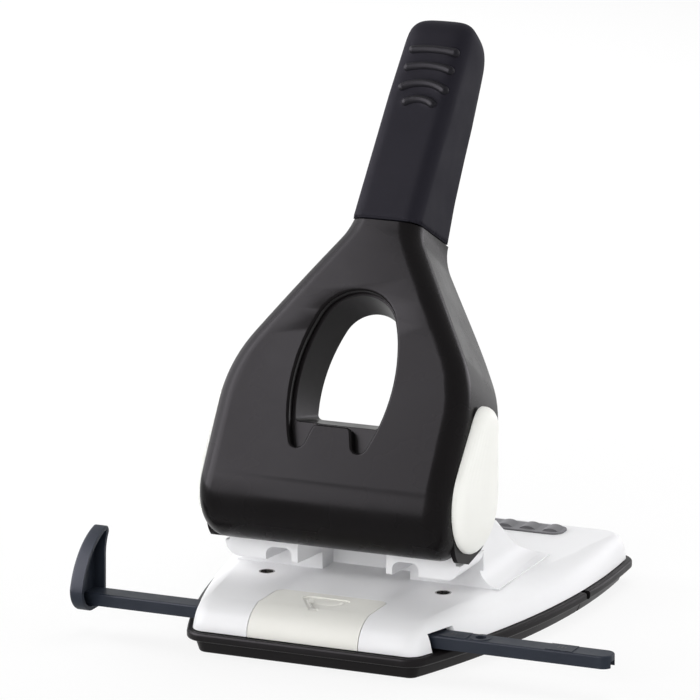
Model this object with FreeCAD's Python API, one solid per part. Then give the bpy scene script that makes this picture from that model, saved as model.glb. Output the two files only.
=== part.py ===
import FreeCAD, Part
import math
import os

from FreeCAD import Vector

# Heavy-duty two-hole lever punch. Millimetres.
# The model is drawn from the die line: x = 0 is the middle between the two dies,
# y = 0 is the die line, y grows to the rear, z = 0 is the top of the base cover.
# On export every piece is moved so that the origin is the middle of the resting face.

# --- Base ------------------------------------------------------------------
BASE_HEIGHT = 22.0          # floor to top of the cover
COVER_DEPTH = 12.0          # height of the cover alone
COVER_WALL = 2.2
COVER_FRONT_Y = -54.0
COVER_REAR_Y = 122.3
FRONT_STATION_Y = -40.0     # where the three half widths are given
MID_STATION_Y = 11.0
REAR_STATION_Y = 100.0
RIM_HALVES = (55.0, 70.0, 78.2)     # half widths of the cover at its lower edge
TOP_HALVES = (47.0, 56.3, 71.2)     # half widths where the flat top ends
TOP_FRONT_INSET = 12.0      # how far the flat top stays back from the front
TOP_REAR_INSET = 6.5
FRONT_CORNER_R = 7.0
REAR_CORNER_R = 7.5
TOP_REAR_CORNER_R = 5.5     # tighter at the flat top
# height of each cover section as a share of the depth, then its inward shares at side and ends
COVER_SECTIONS = ((0.0, 0.0, 0.0), (0.4, 0.16, 0.06), (0.7, 0.37, 0.3), (0.9, 0.66, 0.64), (1.0, 1.0, 1.0))

# --- Trays -----------------------------------------------------------------
TRAY_GAP = 0.3              # seam between cover and trays
LIP_OUT = 2.7               # rim stands out past the cover
LIP_HEIGHT = 3.7
LIP_EDGE_R = 1.1
TRAY_INSET_TOP = 0.6        # tray body against the cover outline
TRAY_INSET_BOTTOM = 3.0
TRAY_WALL = 1.8
TRAY_FLOOR = 1.6
TRAY_BOTTOM_R = 1.2
HINGE_Y = 62.0
HINGE_Z = -18.95
HINGE_KNUCKLE_R = 2.9
HINGE_GAP = 0.5
HINGE_PIN_R = 1.0
HINGE_LUG_WIDTH = 7.0
HINGE_LUG_X = 52.0
HINGE_PIN_OVER = 5.0        # how far a pin reaches into the rear tray
RUNNING_FIT = 0.05

# --- Dies and punches ------------------------------------------------------
DIE_PITCH = 80.0
PUNCH_DIA = 5.5
DIE_BORE = 5.6
DIE_OUTER_DIA = 7.0
DIE_FLANGE_DIA = 10.0
DIE_FLANGE = 1.5
DIE_PLATE_THICK = 3.2
DIE_PLATE_HALF_X = 49.0
DIE_PLATE_FRONT_Y = -15.0
DIE_PLATE_REAR_Y = 60.0
PUNCH_TIP_Z = 8.9
PUNCH_GROOVE = 0.7          # depth of the groove that the collar snaps into
COLLAR_DIA = 11.0
COLLAR_THICK = 3.0
SPRING_OUTER_DIA = 9.6
SPRING_WIRE_DIA = 1.1
SPRING_TURNS = 6
SPRING_WIRE_SIDES = 8
BUSH_OUTER_DIA = 9.0
BUSH_FLANGE_DIA = 12.0
BUSH_FLANGE = 1.4
BUSH_TIP_Z = 9.4

# --- Housing ---------------------------------------------------------------
EAR_THICK = 5.0
SHELL_WALL = 2.0
SIDE_PLAY = 0.25
PIVOT_BUSH_FLANGE = 2.35
EAR_INNER = (DIE_PITCH + BUSH_FLANGE_DIA) / 2      # each ear stands right beside a guide bush
HOUSING_HALF = EAR_INNER + EAR_THICK
LEVER_HALF = HOUSING_HALF + SIDE_PLAY + PIVOT_BUSH_FLANGE + SHELL_WALL      # outside of the lever's side walls
HOUSING_FRONT_Y = -13.3
STOP_WALL_Y = 12.5
THROAT_FRONT = 9.2          # paper throat height at the mouth
THROAT_REAR = 7.4           # and at the stop wall
TOWER_INNER = DIE_PITCH / 2 - 20    # inner side of each foot
TOWER_TOP = 21.0
RECESS_WALL_Y = 24.0        # back of the gap between the feet
FOOT_SLOT_INNER = TOWER_INNER + 2.6
FOOT_SLOT_OUTER = DIE_PITCH / 2 - 5.6
FOOT_SLOT_HEIGHT = 5.9
FOOT_HALF = HOUSING_HALF + 1.9      # feet below the lever walls
FOOT_CORNER_R = 7.0
FOOT_STEP_Z = 16.0          # above this the feet step in to pass inside the lever
BACK_TOP_Z = 25.0
BACK_TOP_REAR_Y = 30.0
BACK_EDGE_R = 6.0
BACK_SLOPE_END = (54.0, 7.6)    # (y, z) where the straight slope turns into the toe
BACK_TOE_Y = 70.0
BACK_TOE = 0.5              # edge left at the toe
FLARE_R = 9.0               # hollow at the foot of the rear sides

# --- Lever pivot -----------------------------------------------------------
PIVOT_Y = -18.4
PIVOT_Z = 41.2
EAR_R = 12.5
PIN_DIA = 8.0
PIN_HEAD_DIA = 12.0
PIN_HEAD = 1.4
PIVOT_BUSH_DIA = 11.0
PIVOT_BUSH_FLANGE_DIA = 17.0
PRESS_BAR_DIA = 6.0
PRESS_BAR_ARM = 19.0        # pivot to press bar
LEVER_TRAVEL = 38.0         # degrees
PUSH_GAP = 0.3              # bar to punch head at rest

# --- Lever shell -----------------------------------------------------------
PLATE_Y = -28.9             # point on the front plate level with the notches
PLATE_Z = 64.1
PLATE_LEAN = 32.8           # degrees back from vertical
BEND_START = 47.0           # along the plate
GRIP_LEAN = 40.0
BEND_R = 485.0
ROLL_END = 253.0            # degrees, where the front roll runs out into the soles of the side walls
ROLL_LIP_Y = -21.5          # where the front sheet stops under the pivot
SHELL_EDGE_R = 9.0
SHOULDER_T = 35.1           # corners of the bell outline along the plate
NECK_T = 100.1
NECK_HALF = 15.3
SHOULDER_R = 60.0
NECK_R = 26.0
GRIP_PROUD = 2.4            # the grip stands out past the back of the neck
# rear edge of the side walls, from the neck down to the pivot, as (y, z)
SHELL_BACK = ((57.0, 118.0), (51.5, 102.5), (45.3, 89.0), (36.0, 78.5), (25.5, 68.0), (19.2, 58.0),
              (17.2, 47.0), (14.3, 32.0))
SHELL_HEEL = (9.0, 20.4)
SHELL_SOLE = (-10.5, 16.6)
HEEL_R = 7.0
# edge of the sole where the rounded front edge dies out: (degrees, radius) about the pivot
SOLE_START = ((231.0, 12.6), (249.0, 18.2), (261.0, 21.4))

# --- Finger hole -----------------------------------------------------------
HOLE_HALF = 22.2
HOLE_MID_T = 30.5
HOLE_SIDE_R = 77.0
HOLE_CROWN_ANGLE = 21.6
NOTCH_R = 3.2
TAB_TOP_T = 10.6
TAB_TAPER = 15.0            # degrees, sides of the tab between the notches
TAB_CORNER_R = 2.8
COLLAR_DEPTH = 4.5
COLLAR_WALL = 1.5
COLLAR_START = 1.2          # the collar grows out of the thickness of the sheet
HOLE_EDGE_R = 1.2
LINER_REAR_D = 23.0
LINER_WALL = 2.0
LINER_INSET = 0.8
LINER_FRONT_BOTTOM = 10.2
LINER_REAR_SHRINK = 3.6     # how much narrower each side is at the rear
LINER_REAR_RISE = 8.4       # the floor of the liner climbs towards the rear
LINER_CORNER_R = 3.4
LINER_REAR_SHIFT = 1.6      # the rear opening sits a little higher
LINER_FLANGE = 2.6
LINER_FLANGE_THICK = 1.6
LINER_SEAM = 0.25

# --- Grip ------------------------------------------------------------------
GRIP_HALF = 15.4
GRIP_LENGTH = 95.8
GRIP_FRONT_START = -5.6     # lower edge at the front, along the grip
GRIP_REAR_START = 4.6       # lower edge at the rear
GRIP_BACK = ((4.6, 41.4), (21.7, 37.2), (42.0, 34.4), (70.7, 31.4))
GRIP_TOP_DEPTH = 28.2
GRIP_EDGE_R = 6.0
GRIP_CROWN_R = 9.5          # corners of the top in front view
GRIP_TOP_FRONT_R = 11.2
GRIP_TOP_REAR_R = 16.0
GRIP_WALL = 2.6
TONGUE_LENGTH = 84.0
RIB_HALF_WIDTH = 1.5
RIB_HEIGHT = 0.9
# each rib on the front of the grip: place along it, half length, radius of its bow
RIBS = ((76.6, 9.0, 60.0), (68.7, 9.0, 30.0), (60.3, 9.0, 18.0), (52.5, 5.8, 11.0))
RIB_MIDDLE_X = 0.8

# --- Side caps -------------------------------------------------------------
CAP_Y = -7.9
CAP_Z = 43.0
CAP_R = 21.8
CAP_TIP_Y = 0.9
CAP_TIP_Z = 70.4
CAP_TIP_R = 10.3
CAP_BULGE = 6.3
# (height, shrink) shares of the rings that make the dome
CAP_SECTIONS = ((0.0, 0.0), (0.24, 0.0), (0.4, 0.025), (0.55, 0.07), (0.68, 0.13), (0.79, 0.215),
                (0.88, 0.33), (0.95, 0.48), (1.0, 0.72))
CAP_POCKET_R = 7.0
CAP_POCKET = 2.0
CAP_SEAM = 0.02

# --- Paper guide -----------------------------------------------------------
BAR_FRONT_Y = -41.2
BAR_REAR_Y = -31.0
BAR_TOP_Z = -5.7
BAR_THICK = 5.3
BAR_RIGHT_X = 128.8
BAR_TIP_R = 4.0
BAR_EDGE_R = 0.8
BAR_HOLE_X = 71.5
BAR_HOLE_DIA = 4.6
FIN_OUTER_X = -107.0
FIN_THICK = 6.2
FIN_WALL = 1.7
FIN_WEB = 1.6
FIN_REAR_Y = -29.6          # rear edge of the fin at the bar
FIN_TOP_REAR = (-26.0, 17.2)
FIN_TOP = (-28.6, 20.4)
FIN_BROW = (-43.5, 12.3)    # on the long front curve
FIN_NOSE = (-52.2, -2.2)
FIN_CHIN = (-49.4, -9.6)
FIN_BOTTOM_FRONT_Y = -42.5
FIN_BOTTOM_Z = -12.5
FIN_EDGE_R = 1.6
BAR_GROOVE = 4.6            # hollow along the underside of the bar
BAR_GROOVE_DEPTH = 2.6
BAR_GROOVE_START_X = 46.0
CHANNEL_HALF = 44.0
CHANNEL_WALL = 1.8
CHANNEL_PAD_INNER = 28.0    # raised pads that meet the cover, clear of the key
CHANNEL_PAD_OUTER = 38.0
CHANNEL_PAD_FRONT_Y = -39.0
CHANNEL_PLAY = 0.3
CHANNEL_CHAMFER = 1.6       # front edge, clear of the key when it is pressed
EXIT_FRONT_Y = -44.0        # cut-outs in the cover where the bar leaves it
EXIT_REAR_Y = -28.8
EXIT_TOP_Z = -4.4
DETENT_THICK = 0.4
DETENT_WIDTH = 6.0
DETENT_HALF = 16.0

# --- Key -------------------------------------------------------------------
KEY_HALF = 24.6
KEY_REAR_Y = -21.5
KEY_CORNER_R = 4.0
KEY_SEAM = 0.3
KEY_TRIANGLE_HALF = 11.0
KEY_TRIANGLE_REAR_Y = -27.5
KEY_TRIANGLE_FRONT_Y = -44.5
KEY_TRIANGLE_R = 2.4
KEY_TRIANGLE_INSET = 3.0    # the walls of the dent slope in this far
KEY_TRIANGLE_DEPTH = 1.7
KEY_STEP_WIDTH = 1.2        # shallow step round the dent
KEY_STEP_DEPTH = 0.25
KEY_PIN_DIA = 2.4
KEY_PIN_Y = -24.5
KEY_PIN_Z = -4.6
KEY_PIN_OVER = 3.0          # how far the pin reaches past each side of the key
KEY_LUG_R = 2.3
KEY_LUG_WIDTH = 5.0
KEY_LUG_X = 19.0
KEY_DROP = 2.2              # room under the front edge of the key

# --- Rear pad --------------------------------------------------------------
PAD_HALF = 53.0
PAD_FRONT_Y = 99.5
PAD_REAR_Y = 112.5
PAD_THICK = 0.7
PAD_CORNER_R = 5.0
PAD_RIB_HEIGHT = 1.3
PAD_RIB_COUNT = 10
PAD_RIB_WIDTH = 7.6
PAD_RECESS = 0.9

# --- Screws ----------------------------------------------------------------
SCREW_DIA = 4.0
SCREW_HEAD_DIA = 7.4
SCREW_HEAD = 2.4
HOUSING_SCREW_XY = ((42.0, 30.0), (42.0, 50.0))
HOUSING_SCREW_DEPTH = 10.0
COVER_SCREW_XY = ((60.0, 72.0), (60.0, 104.0))
COVER_POST_R = 4.5
DRIVE_ACROSS = 3.2
DRIVE_DEPTH = 1.4

COVER_BOTTOM_Z = -COVER_DEPTH
FLOOR_Z = -BASE_HEIGHT
TRAY_TOP_Z = COVER_BOTTOM_Z - TRAY_GAP
BASE_MIDDLE_Y = (COVER_FRONT_Y + COVER_REAR_Y) / 2
FAR = 400.0


# --- Small tools -----------------------------------------------------------
def box(x0, x1, y0, y1, z0, z1):
    return Part.makeBox(x1 - x0, y1 - y0, z1 - z0, Vector(x0, y0, z0))


def rod_x(y, z, radius, x0, x1):
    return Part.makeCylinder(radius, x1 - x0, Vector(x0, y, z), Vector(1, 0, 0))


def rod_z(x, y, radius, z0, z1):
    return Part.makeCylinder(radius, z1 - z0, Vector(x, y, z0), Vector(0, 0, 1))


def mirrored(shape):
    return shape.mirror(Vector(0, 0, 0), Vector(1, 0, 0))


def line(a, b):
    return Part.LineSegment(a, b).toShape()


def arc(a, b, c):
    return Part.Arc(a, b, c).toShape()


def corner(before, point, after, radius):
    """Start, middle and end of the arc that rounds one corner of an outline."""
    back = (before - point).normalize()
    forth = (after - point).normalize()
    half = back.getAngle(forth) / 2
    reach = radius / math.tan(half)
    middle = (back + forth).normalize()
    centre = point + middle * (radius / math.sin(half))
    return point + back * reach, centre - middle * radius, point + forth * reach


def rounded_wire(points, radii):
    """Closed wire through the points, with a tangent arc of the given radius at each."""
    edges = []
    joints = []
    count = len(points)
    for i, point in enumerate(points):
        if radii[i] == 0:
            joints.append((point, None, point))
        else:
            joints.append(corner(points[i - 1], point, points[(i + 1) % count], radii[i]))
    for i, (start, middle, end) in enumerate(joints):
        if middle is not None:
            edges.append(arc(start, middle, end))
        following = joints[(i + 1) % count][0]
        if end.distanceToPoint(following) > 1e-6:
            edges.append(line(end, following))
    return Part.Wire(edges)


def prism(wire, direction):
    return Part.Face(wire).extrude(direction)


def yz(y, z, x=0.0):
    return Vector(x, y, z)


def yz_prism(points, radii, x0, x1):
    return prism(rounded_wire([yz(y, z, x0) for y, z in points], radii), Vector(x1 - x0, 0, 0))


def xy_prism(points, radii, z0, z1):
    return prism(rounded_wire([Vector(x, y, z0) for x, y in points], radii), Vector(0, 0, z1 - z0))


def circle_through(points):
    """Centre and radius of the circle through three points in a plane."""
    (ax, ay), (bx, by), (cx, cy) = points
    twice = 2 * (ax * (by - cy) + bx * (cy - ay) + cx * (ay - by))
    sa, sb, sc = ax * ax + ay * ay, bx * bx + by * by, cx * cx + cy * cy
    ux = (sa * (by - cy) + sb * (cy - ay) + sc * (ay - by)) / twice
    uy = (sa * (cx - bx) + sb * (ax - cx) + sc * (bx - ax)) / twice
    return ux, uy, math.hypot(ax - ux, ay - uy)


def corner_on_circle(circle, end_y, radius, towards):
    """Corner arc between the side circle and a straight end at end_y; towards is +1 or -1 along y."""
    cx, cy, side_r = circle
    my = end_y - towards * radius
    mx = cx + math.sqrt((side_r - radius) ** 2 - (my - cy) ** 2)
    scale = side_r / (side_r - radius)
    on_side = (cx + (mx - cx) * scale, cy + (my - cy) * scale)
    on_end = (mx, end_y)
    diagonal = ((on_side[0] - mx) / radius, (on_side[1] - my) / radius + towards)
    length = math.hypot(*diagonal)
    middle = (mx + radius * diagonal[0] / length, my + radius * diagonal[1] / length)
    return on_end, middle, on_side


# --- Base plan -------------------------------------------------------------
def plan_wire(halves, front_y, rear_y, front_r, rear_r, z):
    """Outline of the base at one height: straight ends, bowed sides, round corners."""
    stations = (FRONT_STATION_Y, MID_STATION_Y, REAR_STATION_Y)
    circle = circle_through(list(zip(halves, stations)))
    cx, cy, side_r = circle
    front = corner_on_circle(circle, front_y, front_r, -1)
    rear = corner_on_circle(circle, rear_y, rear_r, 1)
    side_middle_y = (front[2][1] + rear[2][1]) / 2
    side_middle = (cx + math.sqrt(side_r ** 2 - (side_middle_y - cy) ** 2), side_middle_y)

    def at(point, sign=1):
        return Vector(sign * point[0], point[1], z)

    edges = [line(at(front[0], -1), at(front[0]))]
    edges.append(arc(at(front[0]), at(front[1]), at(front[2])))
    edges.append(arc(at(front[2]), at(side_middle), at(rear[2])))
    edges.append(arc(at(rear[2]), at(rear[1]), at(rear[0])))
    edges.append(line(at(rear[0]), at(rear[0], -1)))
    edges.append(arc(at(rear[0], -1), at(rear[1], -1), at(rear[2], -1)))
    edges.append(arc(at(rear[2], -1), at(side_middle, -1), at(front[2], -1)))
    edges.append(arc(at(front[2], -1), at(front[1], -1), at(front[0], -1)))
    return Part.Wire(edges)


def base_wire(offset, z):
    """The rim outline, grown by offset."""
    halves = [half + offset for half in RIM_HALVES]
    return plan_wire(halves, COVER_FRONT_Y - offset, COVER_REAR_Y + offset,
                     FRONT_CORNER_R + offset, REAR_CORNER_R + offset, z)


def cover_block(inset, ruled):
    """Solid form of the cover, made smaller by inset on every outside face."""
    wires = []
    for height, side_share, end_share in COVER_SECTIONS:
        halves = [low + (top - low) * side_share - inset for low, top in zip(RIM_HALVES, TOP_HALVES)]
        front_y = COVER_FRONT_Y + TOP_FRONT_INSET * end_share + inset
        rear_y = COVER_REAR_Y - TOP_REAR_INSET * end_share - inset
        z = COVER_BOTTOM_Z + COVER_DEPTH * height - (inset if height > 0 else 0)
        rear_r = REAR_CORNER_R + (TOP_REAR_CORNER_R - REAR_CORNER_R) * side_share
        wires.append(plan_wire(halves, front_y, rear_y, FRONT_CORNER_R - inset, rear_r - inset, z))
    return Part.makeLoft(wires, True, ruled)


def key_prism(seam):
    half = KEY_HALF + seam
    rear = KEY_REAR_Y + seam
    front = COVER_FRONT_Y - COVER_DEPTH
    points = [(-half, front), (half, front), (half, rear), (-half, rear)]
    return xy_prism(points, (0, 0, KEY_CORNER_R, KEY_CORNER_R), COVER_BOTTOM_Z - COVER_DEPTH, COVER_DEPTH)


def cover_shell():
    return cover_block(0, False).cut(cover_block(COVER_WALL, True))


def exit_cut(x0, x1):
    """Room for the guide bar through a side of the cover."""
    return box(x0, x1, EXIT_FRONT_Y, EXIT_REAR_Y, COVER_BOTTOM_Z - 1, EXIT_TOP_Z)


def both_sides(places):
    return [(sign * x, y) for x, y in places for sign in (-1, 1)]


def cover_posts():
    post_bottom = TRAY_TOP_Z
    posts = [rod_z(x, y, COVER_POST_R, post_bottom, -COVER_WALL) for x, y in both_sides(COVER_SCREW_XY)]
    holes = [rod_z(x, y, SCREW_DIA / 2, post_bottom, -COVER_WALL - 1) for x, y in both_sides(COVER_SCREW_XY)]
    return posts, holes


def key_pin_lugs():
    """Lugs under the cover that hold the ends of the pin the key turns on."""
    inner = KEY_HALF + 2 * KEY_SEAM
    outer = KEY_HALF + KEY_PIN_OVER
    lugs = []
    for x0, x1 in ((inner, outer), (-outer, -inner)):
        round_end = rod_x(KEY_PIN_Y, KEY_PIN_Z, KEY_LUG_R, x0, x1)
        lugs.append(round_end.fuse(box(x0, x1, KEY_PIN_Y - KEY_LUG_R, KEY_PIN_Y + KEY_LUG_R, KEY_PIN_Z, -COVER_WALL / 2)))
    return lugs


def make_base_cover(shell):
    posts, holes = cover_posts()
    cover = shell.cut(key_prism(KEY_SEAM)).fuse(posts).cut(holes)
    cover = cover.fuse(key_pin_lugs()).cut(make_key_pin())
    cover = cover.cut(exit_cut(KEY_HALF, FAR)).cut(exit_cut(-FAR, -KEY_HALF))
    cover = cover.cut([rod_z(sign * DIE_PITCH / 2, 0, DIE_OUTER_DIA / 2, -COVER_WALL * 2, 1) for sign in (-1, 1)])
    cover = cover.cut([rod_z(x, y, SCREW_DIA / 2 + RUNNING_FIT, -COVER_WALL * 2, 1)
                       for x, y in both_sides(HOUSING_SCREW_XY)])
    return cover.cut(pad_block(PAD_CORNER_R, -PAD_RECESS, 1)).removeSplitter()


# --- Rear pad --------------------------------------------------------------
def pad_block(corner, z0, z1):
    points = [(-PAD_HALF, PAD_FRONT_Y), (PAD_HALF, PAD_FRONT_Y), (PAD_HALF, PAD_REAR_Y), (-PAD_HALF, PAD_REAR_Y)]
    return xy_prism(points, (corner,) * 4, z0, z1)


def make_rear_pad():
    pad = pad_block(PAD_CORNER_R, -PAD_RECESS, PAD_THICK)
    pitch = 2 * PAD_HALF / PAD_RIB_COUNT
    radius = (PAD_RIB_WIDTH ** 2 / 4 + PAD_RIB_HEIGHT ** 2) / (2 * PAD_RIB_HEIGHT)
    length = PAD_REAR_Y - PAD_FRONT_Y - PAD_CORNER_R
    ribs = []
    for i in range(PAD_RIB_COUNT):
        x = -PAD_HALF + pitch * (i + 0.5)
        base = Vector(x, PAD_FRONT_Y + PAD_CORNER_R / 2, PAD_THICK + PAD_RIB_HEIGHT - radius)
        rib = Part.makeCylinder(radius, length, base, Vector(0, 1, 0))
        ribs.append(rib.common(box(x - pitch / 2, x + pitch / 2, PAD_FRONT_Y, PAD_REAR_Y, 0, FAR)))
    return pad.fuse(ribs).removeSplitter()


# --- Trays -----------------------------------------------------------------
def tray_ring():
    """Both trays in one, with the round hinge beam across, before they are parted at the hinge line."""
    lip_bottom = TRAY_TOP_Z - LIP_HEIGHT
    lip = prism(base_wire(LIP_OUT, lip_bottom), Vector(0, 0, LIP_HEIGHT))
    lip = lip.makeFillet(LIP_EDGE_R, [e for e in lip.Edges if abs(e.BoundBox.ZLength) < 1e-6])
    body = Part.makeLoft([base_wire(-TRAY_INSET_BOTTOM, FLOOR_Z), base_wire(-TRAY_INSET_TOP, lip_bottom + 1)],
                         True, True)
    body = body.makeFillet(TRAY_BOTTOM_R, [e for e in body.Edges if e.BoundBox.ZMax < FLOOR_Z + 1e-6])
    hollow = Part.makeLoft([base_wire(-TRAY_INSET_BOTTOM - TRAY_WALL, FLOOR_Z + TRAY_FLOOR),
                            base_wire(-TRAY_INSET_TOP - TRAY_WALL, TRAY_TOP_Z + 1)], True, True)
    return lip.fuse(body).cut(hollow.cut(knuckle(-FAR, FAR, HINGE_KNUCKLE_R)))


def knuckle(x0, x1, radius):
    return rod_x(HINGE_Y, HINGE_Z, radius, x0, x1)


def make_chip_tray(ring):
    """Front tray: its round rear edge turns about the hinge line."""
    front_zone = box(-FAR, FAR, -FAR, HINGE_Y, FLOOR_Z - 1, TRAY_TOP_Z).fuse(knuckle(-FAR, FAR, HINGE_KNUCKLE_R))
    tray = ring.common(front_zone)
    key_room = box(-KEY_HALF - 1, KEY_HALF + 1, COVER_FRONT_Y - KEY_SEAM, COVER_FRONT_Y + TRAY_WALL * 3,
                   TRAY_TOP_Z - KEY_DROP, TRAY_TOP_Z + 1)
    tray = tray.cut(key_room)
    pins = [knuckle(sign * HINGE_LUG_X - HINGE_LUG_WIDTH, sign * HINGE_LUG_X + HINGE_LUG_WIDTH,
                    HINGE_PIN_R + RUNNING_FIT) for sign in (-1, 1)]
    gaps = [box(sign * HINGE_LUG_X - HINGE_LUG_WIDTH / 2 - HINGE_GAP, sign * HINGE_LUG_X + HINGE_LUG_WIDTH / 2
                + HINGE_GAP, HINGE_Y - HINGE_KNUCKLE_R - HINGE_GAP, HINGE_Y + 2 * HINGE_KNUCKLE_R,
                FLOOR_Z - 1, HINGE_Z + HINGE_KNUCKLE_R + HINGE_GAP) for sign in (-1, 1)]
    return tray.cut(gaps).cut(pins).removeSplitter()


def make_tray_rear(ring):
    """Rear tray with two lugs that reach forward to the hinge pins."""
    tray = ring.common(box(-FAR, FAR, HINGE_Y + HINGE_KNUCKLE_R + HINGE_GAP, FAR, FLOOR_Z - 1, TRAY_TOP_Z))
    wall = TRAY_WALL
    edge_y = HINGE_Y + HINGE_KNUCKLE_R + HINGE_GAP
    inner = RIM_HALVES[1]
    tray = tray.fuse(box(-inner, inner, edge_y, edge_y + wall, FLOOR_Z + TRAY_FLOOR / 2, TRAY_TOP_Z - LIP_HEIGHT))
    lugs = []
    for sign in (-1, 1):
        x0 = sign * HINGE_LUG_X - HINGE_LUG_WIDTH / 2
        x1 = x0 + HINGE_LUG_WIDTH
        lug = knuckle(x0, x1, HINGE_KNUCKLE_R - HINGE_GAP)
        lugs.append(lug.fuse(box(x0, x1, HINGE_Y, edge_y + wall, HINGE_Z - 1, HINGE_Z + HINGE_KNUCKLE_R - 1)))
    tray = tray.fuse(lugs)
    tray = tray.cut([knuckle(sign * HINGE_LUG_X - HINGE_LUG_WIDTH, sign * HINGE_LUG_X + HINGE_LUG_WIDTH,
                             HINGE_PIN_R) for sign in (-1, 1)])
    bosses = [rod_z(x, y, COVER_POST_R, FLOOR_Z + TRAY_FLOOR / 2, TRAY_TOP_Z)
              for x, y in both_sides(COVER_SCREW_XY)]
    tray = tray.fuse(bosses)
    sinks = [rod_z(x, y, SCREW_HEAD_DIA / 2 + SIDE_PLAY, FLOOR_Z - 1, FLOOR_Z + SCREW_HEAD + 1)
             for x, y in both_sides(COVER_SCREW_XY)]
    bores = [rod_z(x, y, SCREW_DIA / 2 + RUNNING_FIT, FLOOR_Z, TRAY_TOP_Z) for x, y in both_sides(COVER_SCREW_XY)]
    return tray.cut(sinks).cut(bores).removeSplitter()


def make_tray_hinge_pins():
    return Part.Compound([knuckle(sign * HINGE_LUG_X - HINGE_LUG_WIDTH, sign * HINGE_LUG_X + HINGE_LUG_WIDTH,
                                  HINGE_PIN_R) for sign in (-1, 1)])


# --- Dies, punches, springs ------------------------------------------------
def make_die(x):
    plate_bottom = -COVER_WALL - DIE_PLATE_THICK
    die = rod_z(x, 0, DIE_OUTER_DIA / 2, plate_bottom - DIE_FLANGE, 0)
    die = die.fuse(rod_z(x, 0, DIE_FLANGE_DIA / 2, plate_bottom - DIE_FLANGE, plate_bottom))
    return die.cut(rod_z(x, 0, DIE_BORE / 2, plate_bottom - DIE_FLANGE - 1, 1)).removeSplitter()


def make_die_plate():
    top = -COVER_WALL
    half = DIE_PLATE_HALF_X
    points = [(-half, DIE_PLATE_FRONT_Y), (half, DIE_PLATE_FRONT_Y), (half, DIE_PLATE_REAR_Y), (-half, DIE_PLATE_REAR_Y)]
    plate = xy_prism(points, (COVER_POST_R,) * 4, top - DIE_PLATE_THICK, top)
    plate = plate.cut([rod_z(sign * DIE_PITCH / 2, 0, DIE_OUTER_DIA / 2, -FAR, FAR) for sign in (-1, 1)])
    return plate.cut([rod_z(x, y, SCREW_DIA / 2 + RUNNING_FIT, -FAR, FAR) for x, y in both_sides(HOUSING_SCREW_XY)])


def make_guide_bush(x):
    bush = rod_z(x, 0, BUSH_OUTER_DIA / 2, BUSH_TIP_Z, TOWER_TOP)
    bush = bush.fuse(rod_z(x, 0, BUSH_FLANGE_DIA / 2, TOWER_TOP, TOWER_TOP + BUSH_FLANGE))
    return bush.cut(rod_z(x, 0, DIE_BORE / 2, 0, FAR)).removeSplitter()


def punch_head_z():
    """The punches end just under the press bar."""
    return press_bar_place()[1] - PRESS_BAR_DIA / 2 - PUSH_GAP


def make_punch(x):
    """Straight pin with a hollow-ground tip and a groove under its head for the collar."""
    radius = PUNCH_DIA / 2
    groove_r = radius - PUNCH_GROOVE
    collar_bottom = punch_head_z() - COLLAR_THICK
    punch = rod_z(x, 0, radius, PUNCH_TIP_Z, punch_head_z())
    ring = rod_z(x, 0, radius + 1, collar_bottom, punch_head_z() - COLLAR_THICK / 3)
    punch = punch.cut(ring.cut(rod_z(x, 0, groove_r, 0, FAR)))
    hollow = Part.makeCylinder(PUNCH_DIA * 1.2, PUNCH_DIA * 2, Vector(x - PUNCH_DIA, 0, PUNCH_TIP_Z - PUNCH_DIA),
                               Vector(1, 0, 0))
    return punch.cut(hollow)


def make_punch_collar(x):
    bottom = punch_head_z() - COLLAR_THICK
    top = punch_head_z() - COLLAR_THICK / 3
    collar = rod_z(x, 0, COLLAR_DIA / 2, bottom, top)
    return collar.cut(rod_z(x, 0, PUNCH_DIA / 2 - PUNCH_GROOVE, bottom - 1, FAR))


def make_punch_spring(x):
    """Helix of wire between the flange of the bush and the collar, the wire's round made of narrow flats."""
    half_wire = SPRING_WIRE_DIA / 2 + RUNNING_FIT
    bottom = TOWER_TOP + BUSH_FLANGE + half_wire
    top = punch_head_z() - COLLAR_THICK - half_wire
    mean_r = (SPRING_OUTER_DIA - SPRING_WIRE_DIA) / 2
    pitch = (top - bottom) / SPRING_TURNS
    helix = Part.makeHelix(pitch, top - bottom, mean_r)
    helix.translate(Vector(x, 0, bottom))
    start = Vector(x + mean_r, 0, bottom)
    outwards = Vector(SPRING_WIRE_DIA / 2, 0, 0)
    rise = Vector(0, 1, pitch / (2 * math.pi * mean_r)).normalize()
    flats = [FreeCAD.Rotation(rise, 360.0 * (i + 0.5) / SPRING_WIRE_SIDES) for i in range(SPRING_WIRE_SIDES)]
    corners = [start + flat.multVec(outwards) for flat in flats]
    section = Part.makePolygon(corners + corners[:1])
    return Part.Wire(helix).makePipeShell([section], True, True)


# --- Housing ---------------------------------------------------------------
def feet_block():
    """Front of the housing: two feet over the throat, one deep slab before it is divided."""
    points = [(HOUSING_FRONT_Y, TOWER_TOP), (HOUSING_FRONT_Y, THROAT_FRONT), (STOP_WALL_Y, THROAT_REAR),
              (STOP_WALL_Y + 1, THROAT_REAR), (STOP_WALL_Y + 1, TOWER_TOP)]
    feet = yz_prism(points, (0, 0.8, 0, 0, 0), -FOOT_HALF, FOOT_HALF)
    step = [box(x0, x1, HOUSING_FRONT_Y - 1, STOP_WALL_Y + 2, FOOT_STEP_Z, TOWER_TOP + 1)
            for x0, x1 in ((HOUSING_HALF, FAR), (-FAR, -HOUSING_HALF))]
    return feet.cut(step)


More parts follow.
